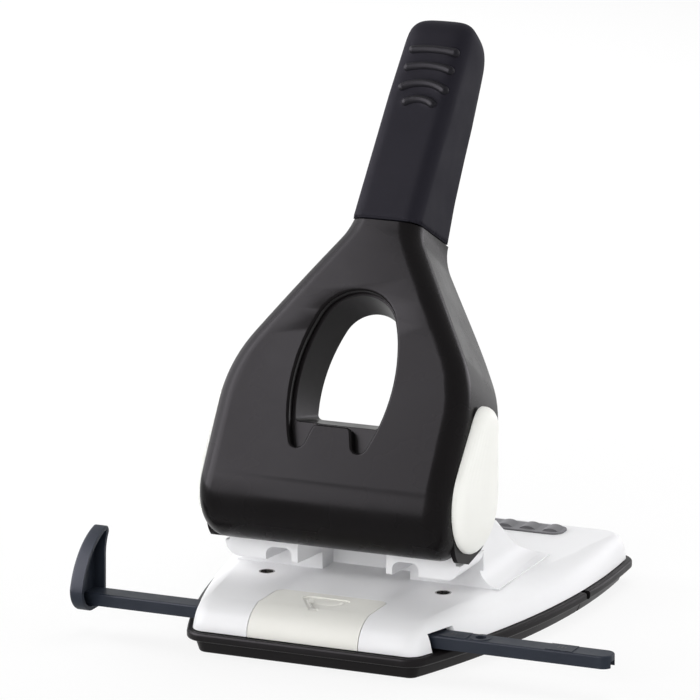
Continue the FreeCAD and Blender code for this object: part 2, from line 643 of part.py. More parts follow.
def back_block():
    """Rear of the housing: upright stop wall, sloping back with a hollow toe, flared sides."""
    slope_y, slope_z = BACK_SLOPE_END
    along = Vector(0, slope_y - BACK_TOP_REAR_Y, slope_z - BACK_TOP_Z).normalize()
    toe = yz(BACK_TOE_Y, BACK_TOE)
    run = slope_z / -along.z * 0.55
    middle = yz(slope_y, slope_z) + along * run + Vector(0, 1.0, 1.1)
    top = [yz(STOP_WALL_Y, 0), yz(STOP_WALL_Y, BACK_TOP_Z), yz(BACK_TOP_REAR_Y, BACK_TOP_Z)]
    round_start, round_middle, round_end = corner(top[1], top[2], yz(slope_y, slope_z), BACK_EDGE_R)
    edges = [line(top[0], top[1]), line(top[1], round_start), arc(round_start, round_middle, round_end),
             line(round_end, yz(slope_y, slope_z)), arc(yz(slope_y, slope_z), middle, toe),
             line(toe, yz(BACK_TOE_Y, 0)), line(yz(BACK_TOE_Y, 0), top[0])]
    wire = Part.Wire(edges)
    wire.translate(Vector(-FAR / 2, 0, 0))
    side_view = prism(wire, Vector(FAR, 0, 0))
    low = HOUSING_HALF + FLARE_R
    height = FLARE_R + BACK_TOE
    shift = FLARE_R * (1 - math.sqrt(0.5))

    def at(x, z):
        return Vector(x, 0, z)

    section = [line(at(-low, 0), at(low, 0)), line(at(low, 0), at(low, BACK_TOE)),
               arc(at(low, BACK_TOE), at(HOUSING_HALF + shift, BACK_TOE + shift), at(HOUSING_HALF, height)),
               line(at(HOUSING_HALF, height), at(HOUSING_HALF, FAR)), line(at(HOUSING_HALF, FAR), at(-HOUSING_HALF, FAR)),
               line(at(-HOUSING_HALF, FAR), at(-HOUSING_HALF, height)),
               arc(at(-HOUSING_HALF, height), at(-HOUSING_HALF - shift, BACK_TOE + shift), at(-low, BACK_TOE)),
               line(at(-low, BACK_TOE), at(-low, 0))]
    return side_view.common(prism(Part.Wire(section), Vector(0, FAR, 0)))


def ear_block(x0, x1):
    """Plate that holds the pivot pin, standing on the outer side of a foot."""
    ear = rod_x(PIVOT_Y, PIVOT_Z, EAR_R, x0, x1)
    neck_front = HOUSING_FRONT_Y
    points = [(neck_front, TOWER_TOP - 1), (STOP_WALL_Y, TOWER_TOP - 1), (STOP_WALL_Y, TOWER_TOP + 6),
              (-2.0, TOWER_TOP + 8), (PIVOT_Y + EAR_R * 0.92, PIVOT_Z - EAR_R * 0.4),
              (PIVOT_Y, PIVOT_Z), (PIVOT_Y - EAR_R * 0.5, PIVOT_Z - EAR_R * 0.86)]
    return ear.fuse(yz_prism(points, (0,) * len(points), x0, x1))


def foot_slot(side):
    """Arched slot along a foot, open to the throat."""
    a = side * FOOT_SLOT_INNER
    b = side * FOOT_SLOT_OUTER
    top = THROAT_FRONT + FOOT_SLOT_HEIGHT
    points = [Vector(a, HOUSING_FRONT_Y - 1, 0), Vector(b, HOUSING_FRONT_Y - 1, 0),
              Vector(b, HOUSING_FRONT_Y - 1, top), Vector(a, HOUSING_FRONT_Y - 1, top)]
    corner = FOOT_SLOT_HEIGHT * 0.6
    return prism(rounded_wire(points, (0, 0, corner, corner)), Vector(0, STOP_WALL_Y - HOUSING_FRONT_Y + 1, 0))


def outer_foot_trim(side):
    """Rounds the lower outer corner of a foot."""
    x_out = side * (FOOT_HALF + 1)
    x_in = side * (FOOT_HALF - FOOT_CORNER_R)
    centre_z = THROAT_FRONT + FOOT_CORNER_R
    block = box(min(x_in, x_out), max(x_in, x_out), HOUSING_FRONT_Y - 1, STOP_WALL_Y, 0, centre_z)
    return block.cut(Part.makeCylinder(FOOT_CORNER_R, FAR, Vector(x_in, HOUSING_FRONT_Y - 2, centre_z),
                                       Vector(0, 1, 0)))


def make_punch_housing():
    feet = feet_block().cut([foot_slot(-1), foot_slot(1), outer_foot_trim(-1), outer_foot_trim(1)])
    middle = box(-TOWER_INNER, TOWER_INNER, HOUSING_FRONT_Y - 1, RECESS_WALL_Y, -1, FAR)
    housing = feet.fuse(back_block()).cut(middle)
    housing = housing.fuse([ear_block(EAR_INNER, HOUSING_HALF), ear_block(-HOUSING_HALF, -EAR_INNER)])
    for sign in (-1, 1):
        x = sign * DIE_PITCH / 2
        housing = housing.cut(rod_z(x, 0, BUSH_OUTER_DIA / 2, 0, FAR))
    housing = housing.cut(rod_x(PIVOT_Y, PIVOT_Z, PIN_DIA / 2, -FAR, FAR))
    screws = [rod_z(x, y, SCREW_DIA / 2, -1, HOUSING_SCREW_DEPTH) for x, y in both_sides(HOUSING_SCREW_XY)]
    return housing.cut(screws).removeSplitter()


# --- Pivot -----------------------------------------------------------------
def make_pivot_pin():
    """Right-hand pin: head inside the ear, shank through ear, bush and lever wall."""
    pin = rod_x(PIVOT_Y, PIVOT_Z, PIN_DIA / 2, EAR_INNER - PIN_HEAD, LEVER_HALF + 1)
    head = rod_x(PIVOT_Y, PIVOT_Z, PIN_HEAD_DIA / 2, EAR_INNER - PIN_HEAD, EAR_INNER)
    pin = pin.fuse(head).removeSplitter()
    return pin.makeChamfer(0.5, [e for e in pin.Edges if e.BoundBox.XMin > LEVER_HALF])


def make_pivot_bush():
    """Right-hand flanged bush: flange between ear and lever wall, sleeve in the wall."""
    inner_face = HOUSING_HALF + SIDE_PLAY
    wall_inner = LEVER_HALF - SHELL_WALL
    bush = rod_x(PIVOT_Y, PIVOT_Z, PIVOT_BUSH_FLANGE_DIA / 2, inner_face, wall_inner)
    bush = bush.fuse(rod_x(PIVOT_Y, PIVOT_Z, PIVOT_BUSH_DIA / 2, wall_inner, LEVER_HALF))
    return bush.cut(rod_x(PIVOT_Y, PIVOT_Z, PIN_DIA / 2 + RUNNING_FIT, 0, FAR)).removeSplitter()


def press_bar_place():
    """The bar swings equally above and below the level of the pivot."""
    half_travel = math.radians(LEVER_TRAVEL / 2)
    return PIVOT_Y + PRESS_BAR_ARM * math.cos(half_travel), PIVOT_Z + PRESS_BAR_ARM * math.sin(half_travel)


def make_press_bar():
    y, z = press_bar_place()
    return rod_x(y, z, PRESS_BAR_DIA / 2, -LEVER_HALF, LEVER_HALF)


# --- Lever -----------------------------------------------------------------
LEAN = math.radians(PLATE_LEAN)
HIGH_LEAN = math.radians(GRIP_LEAN)
PLATE_UP = Vector(0, math.sin(LEAN), math.cos(LEAN))
PLATE_IN = Vector(0, math.cos(LEAN), -math.sin(LEAN))
GRIP_UP = Vector(0, math.sin(HIGH_LEAN), math.cos(HIGH_LEAN))
GRIP_IN = Vector(0, math.cos(HIGH_LEAN), -math.sin(HIGH_LEAN))
PLATE_ORIGIN = Vector(0, PLATE_Y, PLATE_Z)
PIVOT = Vector(0, PIVOT_Y, PIVOT_Z)
BEND_CENTRE = PLATE_ORIGIN + PLATE_UP * BEND_START + PLATE_IN * BEND_R
GRIP_ORIGIN = BEND_CENTRE - GRIP_IN * BEND_R
ROLL_R = (PIVOT - PLATE_ORIGIN).dot(PLATE_IN)
ROLL_T = (PIVOT - PLATE_ORIGIN).dot(PLATE_UP)


def on_plate(x, t, d=0.0):
    """Point x across, t up the front plate, d behind it."""
    return PLATE_ORIGIN + Vector(x, 0, 0) + PLATE_UP * t + PLATE_IN * d


def on_grip(x, s, d=0.0):
    return GRIP_ORIGIN + Vector(x, 0, 0) + GRIP_UP * s + GRIP_IN * d


def around_pivot(radius, degrees):
    angle = math.radians(degrees)
    return PIVOT + Vector(0, math.cos(angle), math.sin(angle)) * radius


def along_roll():
    angle = math.radians(ROLL_END)
    return Vector(0, -math.sin(angle), math.cos(angle))


def front_edges(inset, top_s):
    """Front line of the lever in the middle plane, from below the soles up into the grip."""
    roll = ROLL_R - inset
    roll_start = around_pivot(roll, ROLL_END)
    tail = around_pivot(roll, ROLL_END) + along_roll() * FAR / 2
    plate_angle = 180 - PLATE_LEAN
    roll_middle = around_pivot(roll, (ROLL_END + plate_angle) / 2)
    plate_start = on_plate(0, ROLL_T, inset)
    bend_start = on_plate(0, BEND_START, inset)
    half = (LEAN + HIGH_LEAN) / 2
    bend_middle = BEND_CENTRE - Vector(0, math.cos(half), -math.sin(half)) * (BEND_R - inset)
    bend_end = on_grip(0, 0, inset)
    edges = [line(tail, roll_start), arc(roll_start, roll_middle, plate_start), line(plate_start, bend_start),
             arc(bend_start, bend_middle, bend_end), line(bend_end, on_grip(0, top_s, inset))]
    return edges, tail, on_grip(0, top_s, inset)


def shell_side_face():
    """Everything in front of the rear edges of the side walls and above their soles."""
    neck_back = on_grip(0, GRIP_REAR_START + SHELL_EDGE_R, GRIP_BACK[0][1] - GRIP_PROUD)
    back = [neck_back] + [yz(y, z) for y, z in SHELL_BACK]
    curve = Part.BSplineCurve()
    curve.interpolate(back)
    heel = yz(*SHELL_HEEL)
    sole = yz(*SHELL_SOLE)
    along = (sole - heel).normalize()
    heel_top = back[-1]
    heel_in = heel + along * HEEL_R
    middle = heel + ((heel_top - heel).normalize() + along) * (HEEL_R * 0.3)
    low_front = heel + along * FAR / 4
    high_front = low_front + PLATE_UP * FAR / 2 - PLATE_IN * FAR / 8
    edges = [curve.toShape(), arc(heel_top, middle, heel_in), line(heel_in, low_front),
             line(low_front, high_front), line(high_front, neck_back)]
    return Part.Face(Part.Wire(edges))


def sole_plates():
    """Flat side walls behind the roll, where its rounded edge has died out."""
    first, second, third = [around_pivot(radius, degrees) for degrees, radius in SOLE_START]
    sole = yz(*SHELL_SOLE)
    heel = yz(*SHELL_HEEL)
    high = PIVOT + Vector(0, ROLL_R, 0)
    edges = [arc(first, second, third), line(third, sole), line(sole, heel), line(heel, high), line(high, first)]
    wire = Part.Wire(edges)
    plates = []
    for x0 in (LEVER_HALF - SHELL_WALL, -LEVER_HALF):
        plates.append(prism(wire.translated(Vector(x0, 0, 0)), Vector(SHELL_WALL, 0, 0)))
    return plates


def shell_side_block():
    face = shell_side_face()
    face.translate(Vector(-FAR / 2, 0, 0))
    return face.extrude(Vector(FAR, 0, 0))


def bell_block(inset):
    """Front view of the lever, carried straight back through its whole depth."""
    half = LEVER_HALF - inset
    neck = NECK_HALF - inset
    low = -FAR / 2
    high = FAR / 2
    corners = [(-half, low), (half, low), (half, SHOULDER_T), (neck, NECK_T), (neck, high),
               (-neck, high), (-neck, NECK_T), (-half, SHOULDER_T)]
    radii = (0, 0, SHOULDER_R - inset, NECK_R + inset, 0, 0, NECK_R + inset, SHOULDER_R - inset)
    wire = rounded_wire([on_plate(x, t, -FAR / 4) for x, t in corners], radii)
    return prism(wire, PLATE_IN * FAR)


def shell_room(inset):
    """Everything behind the inner face of the front plate."""
    edges, start, top = front_edges(inset, FAR / 2)
    behind_top = top + GRIP_IN * FAR
    edges += [line(top, behind_top), line(behind_top, start)]
    face = Part.Face(Part.Wire(edges))
    face.translate(Vector(-FAR / 2, 0, 0))
    return face.extrude(Vector(FAR, 0, 0))


def lever_core(inset):
    """Rounded solid form of the lever, inset from its outer faces."""
    body = shell_room(inset).common(bell_block(inset))
    edges = [e for e in body.Edges if is_front_side_edge(e, inset)]
    return body.makeFillet(SHELL_EDGE_R - inset, edges)


def front_depth(point):
    """Distance of a point behind the front line of the lever."""
    t = (point - PLATE_ORIGIN).dot(PLATE_UP)
    s = (point - GRIP_ORIGIN).dot(GRIP_UP)
    flat = Vector(0, point.y, point.z)
    if s > 0:
        return (point - GRIP_ORIGIN).dot(GRIP_IN)
    if t > BEND_START:
        return BEND_R - flat.distanceToPoint(BEND_CENTRE)
    if t > ROLL_T:
        return (point - PLATE_ORIGIN).dot(PLATE_IN)
    from_roll = (flat - around_pivot(ROLL_R, ROLL_END)).dot(along_roll())
    if from_roll > 0:
        return ROLL_R + (point - PIVOT).dot(around_pivot(1, ROLL_END + 180) - PIVOT)
    return ROLL_R - flat.distanceToPoint(PIVOT)


def is_front_side_edge(edge, inset):
    middle = edge.valueAt((edge.FirstParameter + edge.LastParameter) / 2)
    ends = [v.Point for v in edge.Vertexes]
    on_front = all(abs(front_depth(p) - inset) < 0.01 for p in ends + [middle])
    across = abs(ends[0].x - ends[-1].x) > LEVER_HALF
    return on_front and not across and abs(middle.x) > 1


def hole_side_points():
    """Right side of the finger hole: bottom of the side, start of the crown, top of the crown."""
    angle = math.radians(HOLE_CROWN_ANGLE)
    centre_x = HOLE_HALF - HOLE_SIDE_R
    inner_r = HOLE_SIDE_R - NOTCH_R
    notch_x = centre_x + math.sqrt(inner_r ** 2 - (HOLE_MID_T - NOTCH_R) ** 2)
    grow = HOLE_SIDE_R / inner_r
    bottom = (centre_x + (notch_x - centre_x) * grow, HOLE_MID_T + (NOTCH_R - HOLE_MID_T) * grow)
    top = (centre_x + HOLE_SIDE_R * math.cos(angle), HOLE_MID_T + HOLE_SIDE_R * math.sin(angle))
    crown_r = top[0] / math.cos(angle)
    apex = (0.0, top[1] - crown_r * math.sin(angle) + crown_r)
    return bottom, notch_x, top, apex


def hole_wire(d):
    """Finger hole with a notch at each side of the tab."""
    bottom, notch_x, top, apex = hole_side_points()
    taper = math.radians(TAB_TAPER)
    widest = (HOLE_HALF, HOLE_MID_T)
    notch_low = (notch_x, 0.0)
    notch_in = (notch_x - NOTCH_R * math.cos(taper), NOTCH_R * (1 - math.sin(taper)))
    tab_corner_x = notch_in[0] - (TAB_TOP_T - notch_in[1]) * math.tan(taper)

    def at(point, sign=1):
        return on_plate(sign * point[0], point[1], d)

    def tab_corner(sign):
        return corner(at(notch_in, sign), at((tab_corner_x, TAB_TOP_T), sign), at((0.0, TAB_TOP_T)), TAB_CORNER_R)

    side_low, side_round, side_flat = tab_corner(1)
    left_low, left_round, left_flat = tab_corner(-1)
    edges = [arc(at(bottom), at(widest), at(top)), arc(at(top), at(apex), at(top, -1)),
             arc(at(top, -1), at(widest, -1), at(bottom, -1)),
             arc(at(bottom, -1), at(notch_low, -1), at(notch_in, -1)), line(at(notch_in, -1), left_low),
             arc(left_low, left_round, left_flat), line(left_flat, side_flat),
             arc(side_flat, side_round, side_low), line(side_low, at(notch_in)),
             arc(at(notch_in), at(notch_low), at(bottom))]
    return Part.Wire(edges)


def tongue_block(inset):
    """Part of the lever inside the grip, as a solid form."""
    half = GRIP_HALF - GRIP_WALL - inset
    start = GRIP_FRONT_START - 8
    top_depth = GRIP_TOP_DEPTH - GRIP_WALL - inset
    low_depth = GRIP_BACK[0][1] - GRIP_WALL - inset - 2
    front = GRIP_WALL + inset
    corners = [(start, front), (TONGUE_LENGTH - inset, front), (TONGUE_LENGTH - inset, top_depth), (start, low_depth)]
    points = [on_grip(-half, s, d) for s, d in corners]
    block = prism(rounded_wire(points, (0,) * 4), Vector(2 * half, 0, 0))
    length_edges = [e for e in block.Edges if abs(e.BoundBox.XLength) < 1e-6 and e.Length > TONGUE_LENGTH / 2]
    return block.makeFillet(GRIP_EDGE_R - GRIP_WALL, length_edges)


def make_lever_shell():
    outer = lever_core(0).fuse(sole_plates()).common(shell_side_block())
    inner = lever_core(SHELL_WALL)
    shell = outer.cut(inner)
    wall_inner = LEVER_HALF - SHELL_WALL
    shell = shell.cut(box(-wall_inner, wall_inner, ROLL_LIP_Y, PIVOT_Y + ROLL_R * 2, 0, PIVOT_Z - ROLL_R / 2))
    shell = shell.cut(above_grip_edge(0))
    shoulder = outer.common(above_grip_edge(SHELL_WALL)).cut(above_grip_edge(0))
    shell = shell.fuse([shoulder, tongue_block(0)]).cut(tongue_room())
    collar = Part.Face(hole_wire(COLLAR_START).makeOffset2D(COLLAR_WALL))
    collar = collar.extrude(PLATE_IN * (COLLAR_DEPTH - COLLAR_START))
    shell = shell.fuse(collar)
    hole = prism(hole_wire(-SHELL_WALL), PLATE_IN * (SHELL_WALL + COLLAR_DEPTH + 1))
    shell = shell.cut(hole)
    bush_hole = rod_x(PIVOT_Y, PIVOT_Z, PIVOT_BUSH_DIA / 2, -FAR, FAR)
    y, z = press_bar_place()
    bar_hole = rod_x(y, z, PRESS_BAR_DIA / 2, -FAR, FAR)
    shell = shell.cut([bush_hole, bar_hole]).removeSplitter()
    rim = [e for e in shell.Edges if is_hole_edge(e)]
    return shell.makeFillet(HOLE_EDGE_R, rim)


def tongue_room():
    """The tongue is a channel, open at the rear."""
    room = tongue_block(SHELL_WALL)
    return room.fuse(room.translated(GRIP_IN * SHELL_WALL * 3))


def above_grip_edge(gap):
    """Region above the slanted lower edge of the grip."""
    low_front = on_grip(-FAR / 2, GRIP_FRONT_START - gap, 0)
    low_rear = on_grip(-FAR / 2, GRIP_REAR_START - gap, GRIP_BACK[0][1])
    along = (low_rear - low_front).normalize()
    points = [low_front - along * FAR / 4, low_rear + along * FAR / 4,
              low_rear + along * FAR / 4 + GRIP_UP * FAR, low_front - along * FAR / 4 + GRIP_UP * FAR]
    return prism(rounded_wire(points, (0,) * 4), Vector(FAR, 0, 0))


def is_hole_edge(edge):
    ends = [v.Point for v in edge.Vertexes]
    middle = edge.valueAt((edge.FirstParameter + edge.LastParameter) / 2)
    for p in ends + [middle]:
        t = (p - PLATE_ORIGIN).dot(PLATE_UP)
        off_front = abs(front_depth(p)) > 0.02
        if off_front or abs(p.x) > HOLE_HALF + 0.1 or t < -1 or t > BEND_START + HOLE_SIDE_R / 3:
            return False
    return True


# --- Finger liner ----------------------------------------------------------
def egg_wire(grow, bottom_t, d, corner_r, shift):
    """Egg outline like the finger hole, but with a flat rounded floor."""
    angle = math.radians(HOLE_CROWN_ANGLE)
    side_r = HOLE_SIDE_R + grow
    cx = HOLE_HALF - HOLE_SIDE_R
    mid_t = HOLE_MID_T + shift
    circle = (cx, mid_t, side_r)
    on_floor, middle, on_side = corner_on_circle(circle, bottom_t - grow, corner_r, -1)
    top = (cx + side_r * math.cos(angle), mid_t + side_r * math.sin(angle))
    crown_r = top[0] / math.cos(angle)
    apex = (0.0, top[1] - crown_r * math.sin(angle) + crown_r)
    low = math.atan2(on_side[1] - mid_t, on_side[0] - cx)
    half_angle = (low + angle) / 2
    side = (cx + side_r * math.cos(half_angle), mid_t + side_r * math.sin(half_angle))

    def at(point, sign=1):
        return on_plate(sign * point[0], point[1], d)

    edges = [line(at(on_floor, -1), at(on_floor)), arc(at(on_floor), at(middle), at(on_side)),
             arc(at(on_side), at(side), at(top)), arc(at(top), at(apex), at(top, -1)),
             arc(at(top, -1), at(side, -1), at(on_side, -1)), arc(at(on_side, -1), at(middle, -1), at(on_floor, -1))]
    return Part.Wire(edges)


def liner_block(grow, front_d, rear_d):
    """Funnel between the front plate and the rear opening, tapering inwards."""
    depth = LINER_REAR_D - SHELL_WALL

    def section(d):
        share = (d - SHELL_WALL) / depth
        bottom = LINER_FRONT_BOTTOM + (LINER_REAR_RISE - LINER_REAR_SHRINK) * share
        return egg_wire(grow - LINER_REAR_SHRINK * share, bottom, d, LINER_CORNER_R + grow, LINER_REAR_SHIFT * share)

    return Part.makeLoft([section(front_d), section(rear_d)], True, True)


def make_finger_liner():
    outer = liner_block(LINER_WALL - LINER_INSET, COLLAR_DEPTH + LINER_SEAM, LINER_REAR_D)
    plate_start = COLLAR_DEPTH + LINER_SEAM
    front_plate = Part.Face(hole_wire(plate_start).makeOffset2D(COLLAR_WALL + LINER_WALL))
    front_plate = front_plate.extrude(PLATE_IN * LINER_FLANGE_THICK)
    flange = liner_block(LINER_WALL - LINER_INSET + LINER_FLANGE, LINER_REAR_D - LINER_FLANGE_THICK, LINER_REAR_D)
    bore = liner_block(-LINER_INSET, SHELL_WALL - 1, LINER_REAR_D + 1)
    return outer.fuse([front_plate, flange]).cut(bore).removeSplitter()


# --- Grip ------------------------------------------------------------------
def grip_block():
    corners = [(GRIP_FRONT_START - 12, 0.0), (GRIP_LENGTH, 0.0), (GRIP_LENGTH, GRIP_TOP_DEPTH)]
    corners += list(reversed(GRIP_BACK))
    corners.append((GRIP_FRONT_START - 12, GRIP_BACK[0][1] + 3))
    radii = [0, GRIP_TOP_FRONT_R, GRIP_TOP_REAR_R, 60, 60, 60, 30, 0]
    points = [on_grip(-GRIP_HALF, s, d) for s, d in corners]
    block = prism(rounded_wire(points, radii), Vector(2 * GRIP_HALF, 0, 0))
    side_edges = [e for e in block.Edges if abs(e.BoundBox.XLength) < 1e-6
                  and (e.CenterOfMass - GRIP_ORIGIN).dot(GRIP_UP) > GRIP_FRONT_START - 11]
    block = block.makeFillet(GRIP_EDGE_R, side_edges)
    outline = [(-GRIP_HALF, -FAR / 4), (GRIP_HALF, -FAR / 4), (GRIP_HALF, GRIP_LENGTH), (-GRIP_HALF, GRIP_LENGTH)]
    crown = rounded_wire([on_grip(x, s, -FAR / 4) for x, s in outline], (0, 0, GRIP_CROWN_R, GRIP_CROWN_R))
    return block.common(prism(crown, GRIP_IN * FAR))


def along_rib(at, angle):
    """Direction of the rib at one angle round its bow."""
    return (at(angle + 0.001) - at(angle - 0.001)).normalize()


def grip_rib(place, half_length, bow_r):
    """Round-ended rib that bows upwards on the front of the grip."""
    ball_r = (RIB_HALF_WIDTH ** 2 + RIB_HEIGHT ** 2) / (2 * RIB_HEIGHT)
    depth = ball_r - RIB_HEIGHT
    angle = math.asin(half_length / bow_r)
    centre_s = place - bow_r

    def at(a):
        return on_grip(RIB_MIDDLE_X + bow_r * math.sin(a), centre_s + bow_r * math.cos(a), depth)

    tangent = along_rib(at, 0)
    section = Part.Face(Part.Wire(Part.makeCircle(ball_r, at(-angle), along_rib(at, -angle))))
    centre = on_grip(RIB_MIDDLE_X, centre_s, depth)
    turn = 1 if (at(0) - centre).cross(tangent).dot(GRIP_IN) > 0 else -1
    body = section.revolve(centre, GRIP_IN * turn, math.degrees(2 * angle))
    return body.fuse([Part.makeSphere(ball_r, at(-angle)), Part.makeSphere(ball_r, at(angle))])


def make_grip_sleeve():
    grip = grip_block().common(above_grip_edge(0))
    grip = grip.fuse([grip_rib(*rib) for rib in RIBS])
    return grip.cut(tongue_block(0)).removeSplitter()


# --- Side caps -------------------------------------------------------------
def drop_wire(shrink, x):
    """Drop outline: a wide lower circle and a small upper one joined by tangents."""
    low = Vector(x, CAP_Y, CAP_Z)
    high = Vector(x, CAP_TIP_Y, CAP_TIP_Z)
    low_r = CAP_R - shrink * CAP_R
    high_r = CAP_TIP_R - shrink * CAP_TIP_R
    axis = high - low
    spread = math.acos((low_r - high_r) / axis.Length)
    heading = math.atan2(axis.z, axis.y)

    def at(centre, radius, angle):
        return centre + Vector(0, math.cos(angle), math.sin(angle)) * radius

    right = heading - spread
    left = heading + spread
    edges = [arc(at(low, low_r, left), at(low, low_r, heading + math.pi), at(low, low_r, right)),
             line(at(low, low_r, right), at(high, high_r, right)),
             arc(at(high, high_r, right), at(high, high_r, heading), at(high, high_r, left)),
             line(at(high, high_r, left), at(low, low_r, left))]
    return Part.Wire(edges)


def make_side_cap():
    """Right-hand cap: domed drop with a pocket over the end of the pivot pin."""
    start = LEVER_HALF + CAP_SEAM
    wires = [drop_wire(shrink, start + height * CAP_BULGE) for height, shrink in CAP_SECTIONS]
    cap = Part.makeLoft(wires, True, True)
    return cap.cut(rod_x(PIVOT_Y, PIVOT_Z, CAP_POCKET_R, start - 1, start + CAP_POCKET))


# --- Paper guide -----------------------------------------------------------
def make_paper_guide():
    z0 = BAR_TOP_Z - BAR_THICK
    fin_inner = FIN_OUTER_X + FIN_THICK
    points = [(FIN_OUTER_X + 1, BAR_FRONT_Y), (BAR_RIGHT_X, BAR_FRONT_Y), (BAR_RIGHT_X, BAR_REAR_Y),
              (FIN_OUTER_X + 1, BAR_REAR_Y)]
    bar = xy_prism(points, (0, BAR_TIP_R, BAR_TIP_R, 0), z0, BAR_TOP_Z)
    long_edges = [e for e in bar.Edges if abs(e.BoundBox.ZLength) < 1e-6 and e.BoundBox.ZMax > BAR_TOP_Z - 1e-6
                  and e.BoundBox.XMax > FIN_OUTER_X + 2]
    bar = bar.makeFillet(BAR_EDGE_R, long_edges)
    bar = bar.cut(rod_z(BAR_HOLE_X, (BAR_FRONT_Y + BAR_REAR_Y) / 2, BAR_HOLE_DIA / 2, z0 - 1, BAR_TOP_Z + 1))
    groove_y = (BAR_FRONT_Y + BAR_REAR_Y) / 2
    bar = bar.cut(box(BAR_GROOVE_START_X, BAR_RIGHT_X + 1, groove_y - BAR_GROOVE / 2, groove_y + BAR_GROOVE / 2,
                      z0 - 1, z0 + BAR_GROOVE_DEPTH))
    outline = fin_wire()
    fin = prism(outline, Vector(FIN_THICK, 0, 0))
    fin = fin.makeFillet(FIN_EDGE_R, [e for e in fin.Edges if e.BoundBox.XMax < FIN_OUTER_X + 1e-6])
    hollow = outline.makeOffset2D(-FIN_WALL).translated(Vector(FIN_WEB, 0, 0))
    fin = fin.cut(prism(hollow, Vector(FIN_THICK, 0, 0)))
    return bar.fuse(fin).removeSplitter()


def fin_wire():
    """Leaf outline: nearly straight rear edge, full front curve."""
    def at(y, z):
        return yz(y, z, FIN_OUTER_X)

    foot = at(FIN_REAR_Y, FIN_BOTTOM_Z)
    waist = at(FIN_REAR_Y + 0.6, FIN_TOP_REAR[1] / 2)
    foot_round = corner(waist, foot, at(FIN_BOTTOM_FRONT_Y, FIN_BOTTOM_Z), FIN_WALL * 1.5)
    crest = (at(*FIN_TOP_REAR) + at(*FIN_TOP)) * 0.5 + Vector(0, 0.6, 0.6)
    return Part.Wire([line(foot_round[0], waist), arc(waist, at(FIN_REAR_Y + 1.6, FIN_TOP_REAR[1] * 0.78),
                                                      at(*FIN_TOP_REAR)),
                      arc(at(*FIN_TOP_REAR), crest, at(*FIN_TOP)), arc(at(*FIN_TOP), at(*FIN_BROW), at(*FIN_NOSE)),
                      arc(at(*FIN_NOSE), at(*FIN_CHIN), at(FIN_BOTTOM_FRONT_Y, FIN_BOTTOM_Z)),
                      line(at(FIN_BOTTOM_FRONT_Y, FIN_BOTTOM_Z), foot_round[2]), arc(*reversed(foot_round))])


def make_guide_channel():
    """Rail under the cover; the bar runs in its tunnel with play all round."""
    play = CHANNEL_PLAY
    top = BAR_TOP_Z + play + CHANNEL_WALL
    bottom = BAR_TOP_Z - BAR_THICK - play
    y0 = BAR_FRONT_Y - play - CHANNEL_WALL
    y1 = BAR_REAR_Y + play + CHANNEL_WALL
    outline = [(y0, TRAY_TOP_Z), (y1, TRAY_TOP_Z), (y1, top), (y0 + CHANNEL_CHAMFER, top), (y0, top - CHANNEL_CHAMFER)]
    rail = yz_prism(outline, (0,) * len(outline), -CHANNEL_HALF, CHANNEL_HALF)
    rail = rail.fuse([box(x0, x1, CHANNEL_PAD_FRONT_Y, BAR_REAR_Y, top - CHANNEL_WALL / 2, -COVER_WALL)
                      for x0, x1 in ((CHANNEL_PAD_INNER, CHANNEL_PAD_OUTER), (-CHANNEL_PAD_OUTER, -CHANNEL_PAD_INNER))])
    rail = rail.cut(box(-FAR, FAR, BAR_FRONT_Y - play, BAR_REAR_Y + play, bottom, BAR_TOP_Z + play))
    detent_y = (BAR_FRONT_Y + BAR_REAR_Y) / 2
    slot = box(-DETENT_HALF - play, DETENT_HALF + play, detent_y - DETENT_WIDTH / 2 - play,
               detent_y + DETENT_WIDTH / 2 + play, BAR_TOP_Z, top - DETENT_THICK * 2)
    return rail.cut(slot)


def make_guide_detent():
    """Bowed leaf in the roof of the rail."""
    y0 = (BAR_FRONT_Y + BAR_REAR_Y) / 2 - DETENT_WIDTH / 2
    roof = BAR_TOP_Z + CHANNEL_PLAY + CHANNEL_WALL - DETENT_THICK * 2
    low = BAR_TOP_Z + CHANNEL_PLAY
    upper = [Vector(-DETENT_HALF, y0, roof), Vector(0, y0, low + DETENT_THICK), Vector(DETENT_HALF, y0, roof)]
    lower = [point - Vector(0, 0, DETENT_THICK) for point in upper]
    wire = Part.Wire([arc(*upper), line(upper[2], lower[2]), arc(lower[2], lower[1], lower[0]), line(lower[0], upper[0])])
    return prism(wire, Vector(0, DETENT_WIDTH, 0))


# --- Key -------------------------------------------------------------------
def key_triangle(inset, z):
    half = KEY_TRIANGLE_HALF - inset * 1.5
    points = [Vector(-half, KEY_TRIANGLE_REAR_Y - inset, z), Vector(0, KEY_TRIANGLE_FRONT_Y + inset * 1.6, z),
              Vector(half, KEY_TRIANGLE_REAR_Y - inset, z)]
    return rounded_wire(points, (KEY_TRIANGLE_R - inset * 0.5,) * 3)


def key_lugs():
    lugs = []
    for sign in (-1, 1):
        x0 = sign * KEY_LUG_X - KEY_LUG_WIDTH / 2
        lug = rod_x(KEY_PIN_Y, KEY_PIN_Z, KEY_LUG_R, x0, x0 + KEY_LUG_WIDTH)
        lugs.append(lug.fuse(box(x0, x0 + KEY_LUG_WIDTH, KEY_PIN_Y - KEY_LUG_R, KEY_PIN_Y + KEY_LUG_R,
                                 KEY_PIN_Z, -COVER_WALL + 0.2)))
    return lugs


